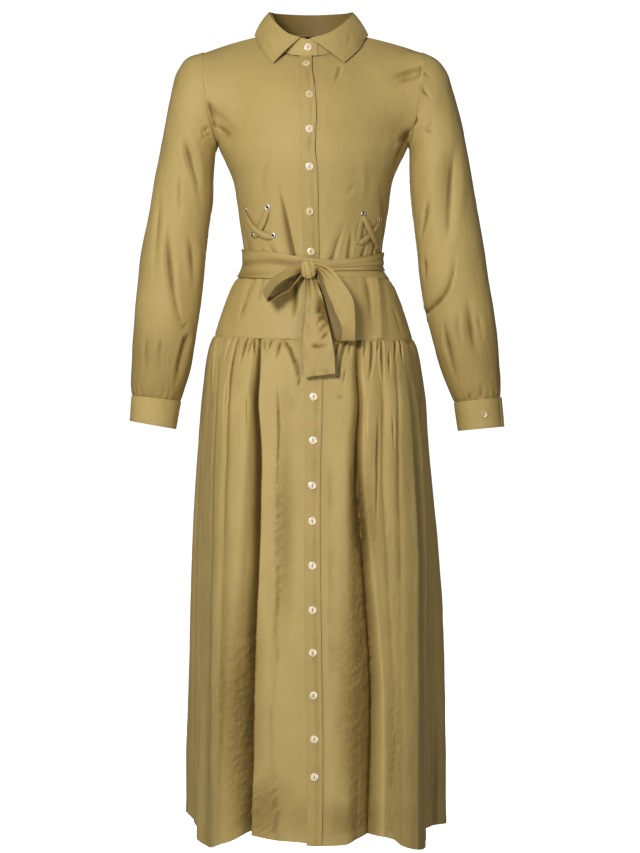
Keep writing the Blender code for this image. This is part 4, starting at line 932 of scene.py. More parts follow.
        (3, 1, 0, 0, 62, 12, 58, -6, 52, -24), (3, 0.8, 0, 0, 82, -4, 74, -14, 66, -22),
    ],
)


def seamRoll(grid, edges, deep=0.9, wide=2.6, closed=False):
    # cloth dips where it goes into a seam. edges holds some of "foot", "top", "first", "last"
    normals = facing(grid, closed)
    rows, columns = grid.shape[:2]
    up = lengths(grid)
    away = np.full((rows, columns), 9.0)
    if "foot" in edges:
        away = np.minimum(away, up)
    if "top" in edges:
        away = np.minimum(away, up[-1] - up)
    run = lengths(grid.transpose(1, 0, 2)).T
    if "first" in edges:
        away = np.minimum(away, run)
    if "last" in edges:
        away = np.minimum(away, run[:, -1][:, None] - run)
    # less in the armpit, where the two pieces face one another
    up = grid[..., 2] / mm
    pit = ease(-192, -178, up) * (1 - ease(-130, -92, up)) * (np.abs(grid[..., 0]) < 170 * mm)
    dip = deep * mm * np.exp(-(away / (wide * mm)) ** 2) * (1 - 0.9 * pit)
    return grid - normals * dip[..., None]


def clearOf(grid, edges, wide=9.0, start=0.0):
    # 0 on a seam, 1 this far from it
    up, run = lengths(grid) / mm, lengths(grid.transpose(1, 0, 2)).T / mm
    reach = {"foot": up, "top": up[-1] - up, "first": run, "last": run[:, -1:] - run}
    total = np.ones(grid.shape[:2])
    for edge in edges:
        total = total * (start + (1 - start) * ease(0, wide, reach[edge]))
    return total


def softened(grid, amount, size=(34, 34, 60), shift=0.0, closed=False, keep=1.0):
    # uneven hang of the cloth, in three sizes
    normals = facing(grid, closed)
    size = np.array(size)
    lump = mottle(grid, size, shift) + 0.45 * mottle(grid, size * 0.42, shift + 5)
    lump = lump + 0.17 * mottle(grid, size * 0.15, shift + 9)
    return grid + normals * (lump * amount * mm * keep)[..., None]


def nearPlacket(grid):
    # 0 under the button strip, 1 clear of it
    away = np.abs(grid[..., 0] / mm - buttonLine(grid[..., 2] / mm))
    return np.where(grid[..., 1] < 0, ease(14, 30, away), 1.0)


def makeBodice():
    jobs = (
        ("bodiceFrontRight", "bodice_front_right", frontGrid, None, bodice["edgeRight"], "frontRight", "first"),
        ("bodiceFrontLeft", "bodice_front_left", frontGrid, bodice["edgeLeft"], None, "frontLeft", "last"),
        ("bodiceBack", "bodice_back", backGrid, None, None, "back", "both"),
    )
    made = {}
    for name, node, source, first, last, key, side in jobs:
        columns = bodice["backColumns"] if key == "back" else bodice["frontColumns"]
        grid = cut(source, middleColumn, first, last, columns)
        keep = nearPlacket(grid)
        edges = ("foot", "top") + (("first", "last") if side == "both" else (side,))
        grid = softened(grid, 0.7, shift=len(key), keep=keep * clearOf(grid, edges))
        grid = creased(grid, creases[key], back=key == "back", keep=keep * clearOf(grid, edges[1:], 5.0))
        grid = seamRoll(grid, edges)
        tucks = [("foot", 2.5, 1.6), ("top", 0.3, 2.0)] + [(edge, 0.6, 2.4) for edge in edges[2:]]
        piece = shell(name, grid, bodice["wall"] * mm, marks=0.05 * keep, tucks=tucks)
        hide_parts(node)
        made[key] = grid
    print("bodice made")
    return made


# ---- basque, the smooth band between waist and hip seam

basque = dict(wall=0.9, rows=61, rightColumns=91, leftColumns=101, backColumns=161)


def makeBasque():
    shares = np.linspace(0, 1, basque["rows"])[:, None]
    gap = form["gap"] / 2

    def rowHeights(turn):
        low = hipSeam(turn) + gap
        return low + (form["waist"] - gap - low) * shares

    jobs = (
        ("basqueFrontRight", "basque_front_right", "basqueRight", basque["rightColumns"],
         lambda h: -sideTurn(h, False), lambda h: edgeTurn(h, bodice["edgeRight"])),
        ("basqueFrontLeft", "basque_front_left", "basqueLeft", basque["leftColumns"],
         lambda h: edgeTurn(h, bodice["edgeLeft"]), lambda h: sideTurn(h, False)),
        ("basqueBack", "basque_back", "basqueBack", basque["backColumns"],
         lambda h: 180 - sideTurn(h, True), lambda h: 180 + sideTurn(h, True)),
    )
    for name, node, key, columns, first, last in jobs:
        place = np.linspace(0, 1, columns)[None, :]
        near = form["waist"] + (form["hip"] - form["waist"]) * (1 - shares)
        turn = first(near) + (last(near) - first(near)) * place
        grid = bodyPoint(rowHeights(turn), turn)
        keep = nearPlacket(grid)
        grid = softened(grid, 0.5, shift=2, keep=keep * clearOf(grid, ("foot", "first", "last")))
        grid = creased(grid, creases[key], back=key == "basqueBack", keep=keep * clearOf(grid, ("foot",), 4.0))
        edges = {"basqueRight": ("foot", "top", "first"), "basqueLeft": ("foot", "top", "last")}
        grid = seamRoll(grid, edges.get(key, ("foot", "top", "first", "last")))
        tucks = [("top", 0.5, 1.5), ("foot", 0.3, 2.0)] + [(edge, 0.6, 2.4) for edge in ("first", "last")]
        piece = shell(name, grid, basque["wall"] * mm, marks=0.05 * keep, tucks=tucks)
        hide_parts(node)
    print("basque made")


# ---- skirt

skirt = dict(
    wall=0.9, rows=265, frontColumns=171, backColumns=241, frontSquareness=3.2, backSquareness=2.3,
    sideStart=68, sideEnd=104, puff=1.6, seamDip=2.4,
    # height, half front panel on -X, the same on +X, half width of the whole, depth in front,
    # depth behind, how far back the middle lies, how far to +X it lies
    sections=[
        (-488, 165, 165, 168, 128.5, 127, 0, 0), (-512, 167, 167, 174, 136, 134, 2, 0),
        (-545, 168, 167, 182, 143, 141, 5, 0), (-578, 170, 169, 188, 149, 147, 8, 1),
        (-611, 171, 171, 192, 154, 151, 11, 1), (-660, 174, 174, 196, 161, 155, 15, 1),
        (-743, 178, 177, 204, 171, 159, 20, 2), (-842, 180, 178, 213, 181, 162, 24, 4),
        (-941, 183, 177, 219, 188, 164, 28, 5), (-1073, 186, 175, 225, 195, 166, 32, 6),
        (-1205, 189, 173, 230, 200, 168, 35, 6), (-1320, 190, 172, 231, 203, 169, 36, 6),
    ],
    # degrees from the front, height above the hem's own height
    hemLine=[
        (-180, 6), (-130, 14), (-100, 18), (-91, 13), (-81, -7), (-73, -16), (-61, -17), (-50, -9), (-42, -2),
        (-32.5, 11.6), (-22.4, 11.6), (-10.4, 4.8), (-3, 0.3), (0.5, -3.8), (7.4, -3), (13.3, 4.6), (22.5, 10),
        (36.4, 2.8), (43.2, -8.5), (56.6, -18), (71.4, -20), (78, -9), (87, 0), (100, 1), (130, 4), (180, 6),
    ],
    # degrees, depth, share of the length that it runs down, behind the side seams
    gathers=[
        (-104, 3.0, 0.10), (-113, 2.0, 0.05), (-119, 3.8, 0.16), (-131, 2.4, 0.07), (-137, 3.4, 0.12), (-149, 2.6, 0.20),
        (-156, 2.2, 0.06), (-163, 3.6, 0.11), (-171, 2.4, 0.14), (-178, 3.0, 0.06), (174, 3.2, 0.18), (165, 2.2, 0.07),
        (158, 3.6, 0.12), (147, 2.6, 0.06), (141, 3.2, 0.17), (129, 2.4, 0.08), (122, 3.6, 0.12), (112, 2.4, 0.06),
        (104, 3.2, 0.14), (97, 2.2, 0.05),
    ],
    # places down the skirt at which the folds are given
    foldKeys=[0, 0.1, 0.25, 0.45, 0.7, 1.0],
    # degrees there, then half width towards -X at the top and foot, the same towards +X,
    # and depth at the top, at 0.15, at 0.45 and at the foot
    folds=[
        (-30.3, -24.5, -19.4, -20.3, -22.9, -25.4, 3.4, 21.0, 1.5, 2.6, 10, 32, 46, 66),
        (24.8, 17.6, 14.7, 18.8, 24.8, 24.4, 3.4, 16.5, 1.5, 2.8, 10, 27, 37, 46),
        (69, 80, 84, 83, 82, 82, 2.6, 4.0, 9, 20, 9, 24, 32, 34),
        (64, 71, 74, 73, 72, 71.5, 8, 12, 4, 5, 0, -6, -9, -9),
        (57, 57, 57, 57, 57, 57, 20, 22, 9, 13, 0, -6, -11, -14),
        (-75, -80, -82.5, -82.5, -82.5, -83, 6, 18, 2.6, 3.4, 2, 8, 12, 18),
        (-14.5, -4.2, -4.6, -6.0, -6.5, -7.2, 4.5, 8, 3.0, 8, 0, 4.0, 5.0, 3.0),
        (36, 32, 29, 31, 36, 38, 7, 12, 5, 10, 0, 6.0, 4.5, 2),
        (60, 58, 54, 52, 53, 55, 8, 14, 8, 12, 0, 1, 2, 3.5),
        (-45.5, -47.3, -44.6, -47, -49, -52, 3.0, 13, 2.4, 13, 1, 5, 3.5, 4),
        (53.0, 45.3, 41.9, 41.2, 42.5, 44.2, 2.4, 5.5, 2.4, 5.5, 1, 2.4, 1.6, 1),
        (-62, -64, -63, -64, -66, -68, 3.5, 10, 3, 8, 1, 3, 3, 4),
        (100, 103, 105, 106, 107, 108, 5, 13, 5, 9, 2, 5, 8, 10),
        (121, 123, 125, 126, 127, 127, 5, 17, 4, 5, 2, 9, 12, 15),
        (141, 142, 143, 144, 145, 145, 4.6, 7, 4.6, 13, 2, 6, 8, 11),
        (165, 162, 161, 162, 163, 164, 4.6, 12, 4, 5, 3, 12, 12, 15),
        (-176, -178, -177, -174, -173, -172, 4, 5, 4, 17, 2, 7, 10, 14),
        (-152, -150, -148, -147, -148, -148, 4.6, 13, 4, 5, 3, 13, 12, 14),
        (-130, -128, -126, -126, -125, -124, 4, 9, 5, 13, 2, 6, 9, 13),
        (-106, -104, -103, -103, -102, -102, 4, 6, 5, 14, 2, 6, 8, 9),
    ],
)


gatherRows = np.array(sorted((row[0] % 360, *row[1:]) for row in skirt["gathers"]))


def skirtBase(height, turn):
    front = np.where(turn < 0, follow(skirt["sections"], 1, height), follow(skirt["sections"], 2, height))
    whole = follow(skirt["sections"], 3, height)
    half = front + (whole - front) * ease(skirt["sideStart"], skirt["sideEnd"], np.abs(turn))
    ahead = cosine(turn) > 0
    squareness = np.where(ahead, skirt["frontSquareness"], skirt["backSquareness"])
    blend = form["squareness"] + (squareness - form["squareness"]) * ease(-490, -620, height)
    depth = np.where(ahead, follow(skirt["sections"], 4, height), follow(skirt["sections"], 5, height))
    aside = buttonLine(height) * np.maximum(cosine(turn), 0) ** 2
    aside = aside + follow(skirt["sections"], 7, height) * np.abs(sine(turn))
    y = follow(skirt["sections"], 6, height) - depth * power(cosine(turn), blend)
    return np.stack([half * power(sine(turn), blend) + aside, y, height], -1) * mm


def foldDepth(turn, share):
    total = np.zeros(np.broadcast(turn, share).shape)
    count = len(skirt["foldKeys"])
    for row in skirt["folds"]:
        center = follow(list(zip(skirt["foldKeys"], row[:count])), 1, share)
        thinRight, wideRight, thinLeft, wideLeft, *depths = row[count:]
        away = turned(turn - center)
        width = np.where(away < 0, thinRight + (wideRight - thinRight) * share**1.15,
                         thinLeft + (wideLeft - thinLeft) * share**1.15)
        depth = follow(list(zip((0, 0.15, 0.45, 1), depths)), 1, share)
        # an even slope on either side, rounded at the top and at the bottom
        reach = np.sqrt((away / width) ** 2 + 0.008)
        total = total + depth * np.log1p(np.exp(6 * (1 - reach))) / 6
    return total


def gatherDepth(turn, share):
    turns, depths, spans = gatherRows.T
    spot = (np.searchsorted(turns, turn % 360, side="right") - 1) % len(turns)
    after = (spot + 1) % len(turns)
    gap = (turns[after] - turns[spot]) % 360
    phase = ((turn - turns[spot]) % 360) / gap
    near = np.where(phase < 0.5, spot, after)
    reach = np.minimum(phase, 1 - phase) * np.where(gap > 20, gap / 8, 1.0)
    strength = (0.5 + 0.5 * np.cos(2 * np.pi * np.minimum(reach, 0.5))) ** 1.6
    return depths[near] * strength * np.exp(-(share / spans[near]) ** 2)


def skirtFrontTurn(height, distance):
    half = follow(skirt["sections"], 1 if distance < 0 else 2, height)
    blend = form["squareness"] + (skirt["frontSquareness"] - form["squareness"]) * ease(-490, -620, height)
    return np.sign(distance) * np.degrees(np.arcsin((np.abs(distance) / half) ** (blend / 2)))


def skirtPoint(share, turn, distance=None):
    # distance holds a column at that many mm from the button line
    share, turn = np.broadcast_arrays(np.asarray(share, float), np.asarray(turn, float))
    top = hipSeam(turn) - form["gap"] / 2
    foot = form["hem"] + follow(skirt["hemLine"], 1, turned(turn))
    height = top + (foot - top) * share
    if distance is not None:
        blend, held = distance
        turn = turn * (1 - blend) + skirtFrontTurn(height, held) * blend
    here = skirtBase(height, turned(turn))
    beside = skirtBase(height, turned(turn + 0.5)) - skirtBase(height, turned(turn - 0.5))
    outward = unit(np.stack([beside[..., 1], -beside[..., 0], np.zeros_like(turn)], -1))
    sign = np.sign(outward[..., 0] * sine(turn) - outward[..., 1] * cosine(turn))
    quiet = ease(5.0, 13.0, np.abs(turned(turn) - 1.0))
    seam = skirt["seamDip"] * np.exp(-(share / 0.011) ** 2) - skirt["puff"] * np.exp(-((share - 0.045) / 0.035) ** 2)
    inward = ((gatherDepth(turn, share) + foldDepth(turned(turn), share)) * quiet + seam) * mm
    return here - outward * (sign * inward)[..., None]


def skirtColumns(side, columns):
    # even columns over the panel, the last ones eased over to the front edge
    limit, held = 89.9994, bodice["edgeRight"] if side < 0 else bodice["edgeLeft"]
    ends = 8.0
    count = 9
    outer = np.linspace(limit, ends, columns - count)
    inner = np.linspace(ends, 2.5, count + 1)[1:]
    turns = np.concatenate([outer, inner]) * side
    blend = np.concatenate([np.zeros(columns - count), np.linspace(0, 1, count + 1)[1:]])
    if side > 0:
        turns, blend = turns[::-1], blend[::-1]
    return turns[None, :], (blend[None, :], held)


# wrinkled patches of the skirt; the shells also darken them as painted shade
crinklePatches = [
    # across, up, half width, half height, strength
    (-118, -1110, 34, 190, 1.0), (-100, -1010, 22, 110, 0.8), (68, -1060, 30, 240, 1.0), (78, -800, 22, 110, 0.9),
    (-45, -800, 16, 170, 0.7), (128, -860, 18, 160, 0.3), (20, -1262, 150, 36, 0.5), (-90, -1250, 60, 60, 0.8),
    (60, -1265, 50, 40, 0.8), (130, -1150, 20, 150, 0.4),
]


def crinkleAt(grid, low=0.06):
    total = np.full(grid.shape[:2], low)
    for across, up, wide, tall, strength in crinklePatches:
        x, z = (grid[..., 0] / mm - across) / wide, (grid[..., 2] / mm - up) / tall
        total = np.maximum(total, strength * np.exp(-(x**2) - z**2))
    return total


def makeSkirt():
    shares = np.linspace(1, 0, skirt["rows"]) ** 1.15
    made = {}
    for name, node, key, side in (
        ("skirtFrontRight", "skirt_front_right", "skirtRight", -1),
        ("skirtFrontLeft", "skirt_front_left", "skirtLeft", 1),
        ("skirtBack", "skirt_back", "skirtBack", 0),
    ):
        if side:
            turns, held = skirtColumns(side, skirt["frontColumns"])
            grid = skirtPoint(shares[:, None], turns, held)
        else:
            turns = np.linspace(90.07, 269.93, skirt["backColumns"])[None, :]
            grid = skirtPoint(shares[:, None], turns)
        # both panels hold the same line along a side seam
        sides = {1: ("last",), -1: ("first",), 0: ("first", "last")}[side]
        keep = nearPlacket(grid) * clearOf(grid, sides, 16.0)
        down = ease(0.0, 0.12, shares)[:, None]
        grid = softened(grid, 1.5, size=(46, 46, 150), shift=4, keep=keep * down)
        grid = creased(grid, creases[key], back=side == 0, keep=keep * clearOf(grid, ("top",), 7.0, 0.45))
        wrinkle = crinkleAt(grid)
        # slanting wrinkles, finer in the bump
        slant = grid * np.array([0.75, 0.75, 1.0]) + grid[..., :1] * np.array([0, 0, -0.65])
        ridge = np.exp(-(mottle(slant, (15, 15, 5.5), 3) / 0.24) ** 2)
        grid = grid + facing(grid) * ((ridge - 0.3) * 1.6 * mm * np.maximum(wrinkle - 0.10, 0) * keep)[..., None]
        grid = seamRoll(grid, ("top", *sides))
        # the hem is turned up, so it stands a little thicker
        rise = lengths(grid)
        turnUp = 0.35 * mm * ease(12.5, 11.5, rise / mm) - 0.25 * mm * np.exp(-((rise / mm - 12.0) / 1.2) ** 2)
        grid = grid + facing(grid) * turnUp[..., None]
        # the front panels run on under the back one
        past, deep = (3.0, 2.2) if side else (0.4, 0.6)
        tucks = [("top", 4.0, 2.4)] + [(edge, past, deep) for edge in sides]
        if side:
            tucks.append(("first" if side > 0 else "last", 0.6, 2.4))
        piece = shell(name, grid, skirt["wall"] * mm, marks=wrinkle, tucks=tucks)
        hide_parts(node)
        made[key] = grid
    print("skirt made")
    return made


bodiceGrids = makeBodice()
makeBasque()
skirtGrids = makeSkirt()


# ---- sleeves

sleeves = dict(
    wall=0.9, columns=128, rows=207, squareness=2.1,
    # inner edge across and up, outer edge across and up, half depth, middle forwards
    right=[
        (157.6, -180.5, 203.0, -27.2, 57, 0), (159.8, -186.5, 222.0, -49.5, 56.5, 0),
        (161.0, -194, 232.5, -82.5, 56, 0), (162.3, -205, 241.0, -124, 55.5, 0),
        (164.0, -227, 250.0, -173, 55, 0), (165.0, -265, 263.0, -239, 54, 0),
        (169.9, -305, 273.0, -300, 53, -1), (174.9, -350, 282.2, -346, 52, -2),
        (179.8, -399, 288.8, -398, 51, -4), (186.5, -449, 293.7, -445, 49, -6),
        (194.7, -503, 297.0, -498, 47, -9), (202.1, -545, 298.3, -538, 45, -11),
        (211.4, -576, 299.5, -566, 42, -13), (218.0, -595.5, 298.0, -586, 38.5, -14),
    ],
    left=[
        (158.0, -180.5, 197.5, -27.6, 57, 0), (158.6, -186.5, 219.5, -49.5, 56.5, 0),
        (158.8, -194, 231.0, -82.5, 56, 0), (158.8, -205, 242.5, -124, 55.5, 0),
        (159.2, -227, 252.5, -173, 55, 0), (161.7, -265, 264.8, -239, 54, 0),
        (165.8, -305, 274.7, -300, 53, -1), (170.4, -350, 282.2, -346, 52, -2),
        (175.7, -399, 289.2, -398, 51, -4), (184.3, -449, 297.3, -445, 49, -6),
        (198.8, -503, 304.1, -498, 47, -9), (211.2, -545, 306.5, -538, 45, -11),
        (223.0, -576, 308.5, -566, 42, -13), (232.5, -597.5, 308.5, -589, 38.5, -14),
    ],
)

cuffs = dict(
    wall=1.3, rows=25, columns=145, lift=1.2, spiral=-2.8,
    right=[(218.0, -595.9, 298.2, -586.4, 38.5, -14), (226.2, -642, 302.0, -628.5, 36.5, -15)],
    left=[(232.5, -597.9, 308.7, -589.4, 38.5, -14), (239.4, -645, 312.8, -638, 36.5, -15)],
    turns=dict(right=(200.0, 378.0), left=(150.0, 378.0)),
)


def ring(section, side, turns, grow=0.0):
    innerX, innerZ, outerX, outerZ, depth, forward = section
    inner, outer = np.array([innerX, 0, innerZ]), np.array([outerX, 0, outerZ])
    middle, reach = (inner + outer) / 2, (inner - outer) / 2
    size = 1 + grow / np.linalg.norm(reach)
    point = middle + reach * (size * power(cosine(turns), sleeves["squareness"]))[:, None]
    point[:, 1] = forward - (depth + grow) * power(sine(turns), sleeves["squareness"])
    return point * np.array([side, 1, 1]) * mm


def makeSleeves():
    for key, side in (("right", -1), ("left", 1)):
        turns = 360 * np.arange(sleeves["columns"]) / sleeves["columns"]
        seam = armholePoint(side, turns) + np.array([side * form["gap"] * 1.5 * mm, 0, 0])
        rings = np.array([seam] + [ring(section, side, turns) for section in sleeves[key]])
        keys = lengths(rings).mean(axis=1)
        grid = pull(rings, keys, np.linspace(keys[-1], 0, sleeves["rows"]))
        if side < 0:
            grid = grid[:, ::-1]
        keep = clearOf(grid, ("foot", "top"), 12.0)
        grid = softened(grid, 1.1, size=(40, 40, 95), shift=6 * side, closed=True, keep=keep)
        word = key.capitalize()
        grid = creased(grid, creases["sleeve" + word], closed=True, keep=clearOf(grid, ("foot", "top"), 4.0))
        grid = creased(grid, creases["sleeve" + word + "Back"], closed=True, back=True)
        # small gathers into the cuff
        up = lengths(grid) / mm
        around = np.arange(sleeves["columns"])[None, :] / sleeves["columns"] * 2 * np.pi
        gathers = np.sin(around * 17 + 1.6 * np.sin(around * 5)) * 0.6 * np.exp(-(up / 20) ** 2)
        dip = 0.9 * np.exp(-(up / 2.5) ** 2)
        grid = grid - facing(grid, True) * ((gathers + dip) * mm)[..., None]
        # crinkles towards the cuff, which the shell also darkens as painted shade
        marks = 0.06 + 0.5 * ease(190, 60, up)
        # the seam allowance of the cap lies inside the armhole
        seam = grid[-1]
        inward = unit((seam.mean(axis=0) - seam) * np.array([0, 1, 1]))
        across = np.array([-side, 0, 0])
        cap = [seam + across * 0.9 * mm + inward * 1.5 * mm, seam + across * 3.5 * mm + inward * 2.6 * mm]
        whole, marks = np.concatenate([grid, cap]), np.pad(marks, ((0, 2), (0, 0)), mode="edge")
        piece = shell("sleeve" + word, whole, sleeves["wall"] * mm, closed=True, marks=marks,
                      tucks=[("foot", 7.0, 1.2)])
        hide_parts("sleeve_" + key)
    print("sleeves made")


def makeCuffs():
    made = {}
    for key, side in (("right", -1), ("left", 1)):
        start, sweep = cuffs["turns"][key]
        share = np.linspace(0, 1, cuffs["columns"])
        grow = cuffs["lift"] + cuffs["spiral"] * (share - 0.5)
        rings = []
        for section in cuffs[key][::-1]:
            points = [ring(section, side, np.array([start + sweep * s]), g)[0] for s, g in zip(share, grow)]
            rings.append(points)
        low, high = np.array(rings)
        t = np.linspace(0, 1, cuffs["rows"])[:, None, None]
        grid = low * (1 - t) + high * t
        if side < 0:
            grid = grid[:, ::-1]
        grid = softened(grid, 0.5, size=(26, 26, 40), shift=9)
        grid = seamRoll(grid, ("top",), deep=0.5, wide=2.0)
        piece = shell("cuff" + key.capitalize(), grid, cuffs["wall"] * mm, marks=0.15,
                      tucks=[("top", 0.8, 2.6)])
        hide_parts("cuff_" + key)
        made[key] = grid
    print("cuffs made")
    return made


makeSleeves()
cuffGrids = makeCuffs()


# ---- button strip down the front

placket = dict(
    wall=1.1, lift=1.7, columns=27, rows=481, reach=16.0, baseColumns=65, skirtRows=281, basqueRows=34,
    # how far in the two stitch lines run, as a share of the width
    inset=0.075,
    # height, wearer's right edge, wearer's left edge, how far the free edge stands off
    edges=[
        (-30, -13, 8, 0.4), (-60, -14, 6.5, 2.6), (-80, -15, 8.5, 3.0), (-100, -15, 11, 1.0), (-130, -14, 11.5, 2.4),
        (-160, -14, 10, 0.9), (-190, -15, 8.5, 2.4), (-222, -14, 12.5, 0.6), (-260, -13.5, 13, 1.3),
        (-300, -12.5, 13.5, 0.6), (-345, -12.5, 13.5, 0.8), (-395, -13, 13, 0.0), (-500, -13, 13, 0.4),
        (-590, -13, 13.5, 0.9), (-700, -12.5, 12.5, 0.9), (-850, -12.5, 12.5, 0.8), (-1000, -12.5, 13.5, 1.2),
        (-1200, -12.5, 13, 1.0), (-1330, -12.5, 11, 1.2),
    ],
)


def makePlacket():
    reach = placket["reach"]
    distances = np.linspace(-reach, reach, placket["baseColumns"])
    middle = placket["baseColumns"] // 2
    shares = np.linspace(1, 0, placket["skirtRows"])[:, None]
    top = hipSeam(0.0) - form["gap"] / 2
    foot = form["hem"] + follow(skirt["hemLine"], 1, 0.0)
    heights = top + (foot - top) * shares
    turns = np.concatenate([skirtFrontTurn(heights, d) for d in distances], axis=1)
    rows = [skirtBase(heights * np.ones_like(turns), turns)]
    low, high = hipSeam(0.0) + form["gap"] / 2, form["waist"] - form["gap"] / 2
    heights = np.linspace(low, high, placket["basqueRows"])[:, None]
    rows.append(bodyPoint(heights, np.concatenate([edgeTurn(heights, d) for d in distances], axis=1)))
    rows.append(cut(frontGrid, middleColumn, -reach, reach, len(distances)))
    base = np.concatenate(rows)
    keys = lengths(base[:, middle])
    apart = np.append(True, np.diff(keys) > 1e-5)
    base = pull(base[apart], keys[apart], np.linspace(0, keys[-1], placket["rows"]))
    up = base[:, middle, 2] / mm
    left, right = follow(placket["edges"], 1, up), follow(placket["edges"], 2, up)
    stand = follow(placket["edges"], 3, up)
    grid = []
    for row, first, last in zip(base, left, right):
        at = np.linspace(first, last, placket["columns"])
        grid.append(np.stack([np.interp(at, distances, row[:, axis]) for axis in range(3)], -1))
    grid = np.array(grid)
    ways = facing(grid)
    across = np.linspace(0, 1, placket["columns"])[None, :]
    lift = placket["lift"] + stand[:, None] * ease(0.62, 1.0, across) * 1.2
    lift = lift - 0.7 * np.exp(-((across - 0.0) / 0.05) ** 2)
    for inset, deep in ((placket["inset"], 0.30), (0.925, 0.22)):
        lift = lift - deep * np.exp(-((across - inset) / 0.035) ** 2)
    grid = grid + ways * (lift * mm)[..., None]
    grid = softened(grid, 0.28, size=(20, 20, 34), shift=8)
    piece = shell("buttonStrip", grid, placket["wall"] * mm, marks=0.25)
    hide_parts("placket")
    inset = (placket["columns"] - 1) * placket["inset"]
    rowsAt = np.arange(1, placket["rows"] - 1)
    stitchRow("stitchingPlacket", [
        gridLine(grid, rowsAt, np.full(len(rowsAt), inset)),
        gridLine(grid, rowsAt, np.full(len(rowsAt), placket["columns"] - 1 - inset)),
    ])
    print("placket made")


makePlacket()


# ---- collar

collar = dict(
    wall=1.5, standWall=1.5, overlap=13.5, spread=3.5, roll=4, lift=2.0, clear=2.7,
    # degrees from the front, place across the bodice, share of the way up to the neck
    edge=[
        (-8.5, 0.285, 0.765), (-35, 0.41, 0.85), (-62, 0.52, 0.94), (-90, 0.58, 1.0),
        (-120, 0.50, 0.95), (-150, 0.27, 0.91), (180, 0.0, 0.90),
        (150, 0.27, 0.91), (120, 0.50, 0.95), (90, 0.58, 1.0),
        (62, 0.52, 0.94), (35, 0.41, 0.85), (3.5, 0.27, 0.775),
    ],
)


def makeStand():
    turns = np.linspace(-collar["overlap"], 360 + collar["overlap"], 241)
    low, high = neckSeam(turns), standFold(turns)
    t = np.linspace(0, 1, 17)[:, None, None]
    grid = low * (1 - t) + high * t
    spread = 1.3 * (ease(300, 342, turns) - 1 + ease(18, 60, turns))
    out = grid - np.array([bodice["neckShift"] * mm, 0, 0])
    out[..., 2] = 0
    grid = grid + unit(out) * (spread * mm)[None, :, None]
    # the front end is cut round
    inset = ease(0.35, 1.0, t[:, 0]) ** 2
    start, stop = ease(-collar["overlap"] + 6, -collar["overlap"], turns), ease(367, 373.5, turns)
    grid[..., 2] -= (inset * (start + stop)[None, :]) * 6 * mm
    grid = softened(grid, 0.25, size=(18, 18, 18), shift=3)
    piece = shell("collarStand", grid, collar["standWall"] * mm)
    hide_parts("collar_stand")
    stitchRow("stitchingStand", [gridLine(grid, np.full(230, 1.2), np.linspace(4, 236, 230))])


def rimPoint(turn, place, share):
    back = 90 < turn < 270
    fronts, backs = (rightFront, leftFront), (rightBack, leftBack)
    half = (backs if back else fronts)[turn < 180]
    keys = lengths(half)[:, 0]
    knots = lengths(halfBodice(1 if turn < 180 else -1, back))[:, 0]
    level = np.interp(8 + 8 * share, np.arange(17), knots) / keys[-1] * (half.shape[0] - 1)
    column = place * (half.shape[1] - 1)
    ordered = half if (turn < 180) != back else half[:, ::-1]
    if ordered is not half:
        column = half.shape[1] - 1 - column
    return gridLine(ordered, np.array([level]), np.array([column]))


def eased(values, passes):
    values = np.array(values)
    for _ in range(passes):
        values[1:-1] = (values[:-2] + values[1:-1] * 2 + values[2:]) / 4
    return values


def makeCollar():
    table = sorted((row[0] % 360, row[1], row[2]) for row in collar["edge"])
    turns = np.linspace(table[0][0], table[-1][0], 61)
    spots = []
    for turn in turns:
        place, share = min(float(follow(table, 1, turn)), 1.0), min(float(follow(table, 2, turn)), 1.0)
        point, way = rimPoint(turn, place, share)
        spots.append(np.concatenate([point[0], way[0]]))
    spots = np.array(spots)
    rims, ways = eased(spots[:, :3], 3), unit(eased(spots[:, 3:], 6))
    rims = rims + ways * (collar["wall"] + collar["lift"]) * mm
    fine = np.linspace(turns[0], turns[-1], 301)
    rims = pull(rims, turns, fine)
    fold = standFold(fine)
    out = fold - np.array([bodice["neckShift"] * mm, 0, 0])
    out[:, 2] = 0
    out = unit(out)
    front = (1 - ease(20, 55, np.abs(turned(fine))))[:, None]
    fold = fold + out * (collar["clear"] + 2.0 * front) * mm + np.array([0, 0, 0.6 * mm])
    control = (fold + rims) / 2 + out * collar["spread"] * mm
    control[:, 2] += (collar["roll"] * (1 - 0.5 * front[:, 0])) * mm
    t = np.linspace(1, 0, 41)[:, None, None]
    grid = fold * (1 - t) ** 2 + control * 2 * t * (1 - t) + rims * t**2
    grid = softened(grid, 0.35, size=(24, 24, 24), shift=1)
    grid = creased(grid, creases["collar"])
    piece = shell("collarFall", grid, collar["wall"] * mm, marks=0.12)
    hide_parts("collar_fall")
    inset = 3.0
    around = np.concatenate([
        np.stack([np.linspace(38, inset, 30), np.full(30, inset)], 1),
        np.stack([np.full(290, inset), np.linspace(inset, 300 - inset, 290)], 1),
        np.stack([np.linspace(inset, 38, 30), np.full(30, 300 - inset)], 1),
    ])
    stitchRow("stitchingCollar", [gridLine(grid, around[:, 0], around[:, 1])])
    print("collar made")


makeStand()
makeCollar()


# ---- waist tie

belt = dict(
    wall=1.0, lift=2.6, rows=25, columns=360,
    # degrees from the front, top, bottom
    line=[
        (-180, -346, -387), (-90, -346, -390), (-45, -352, -396), (-14, -361, -397),
        (0, -366, -392), (14, -368, -386), (45, -361, -383), (90, -350, -380), (180, -346, -387),
    ],
)


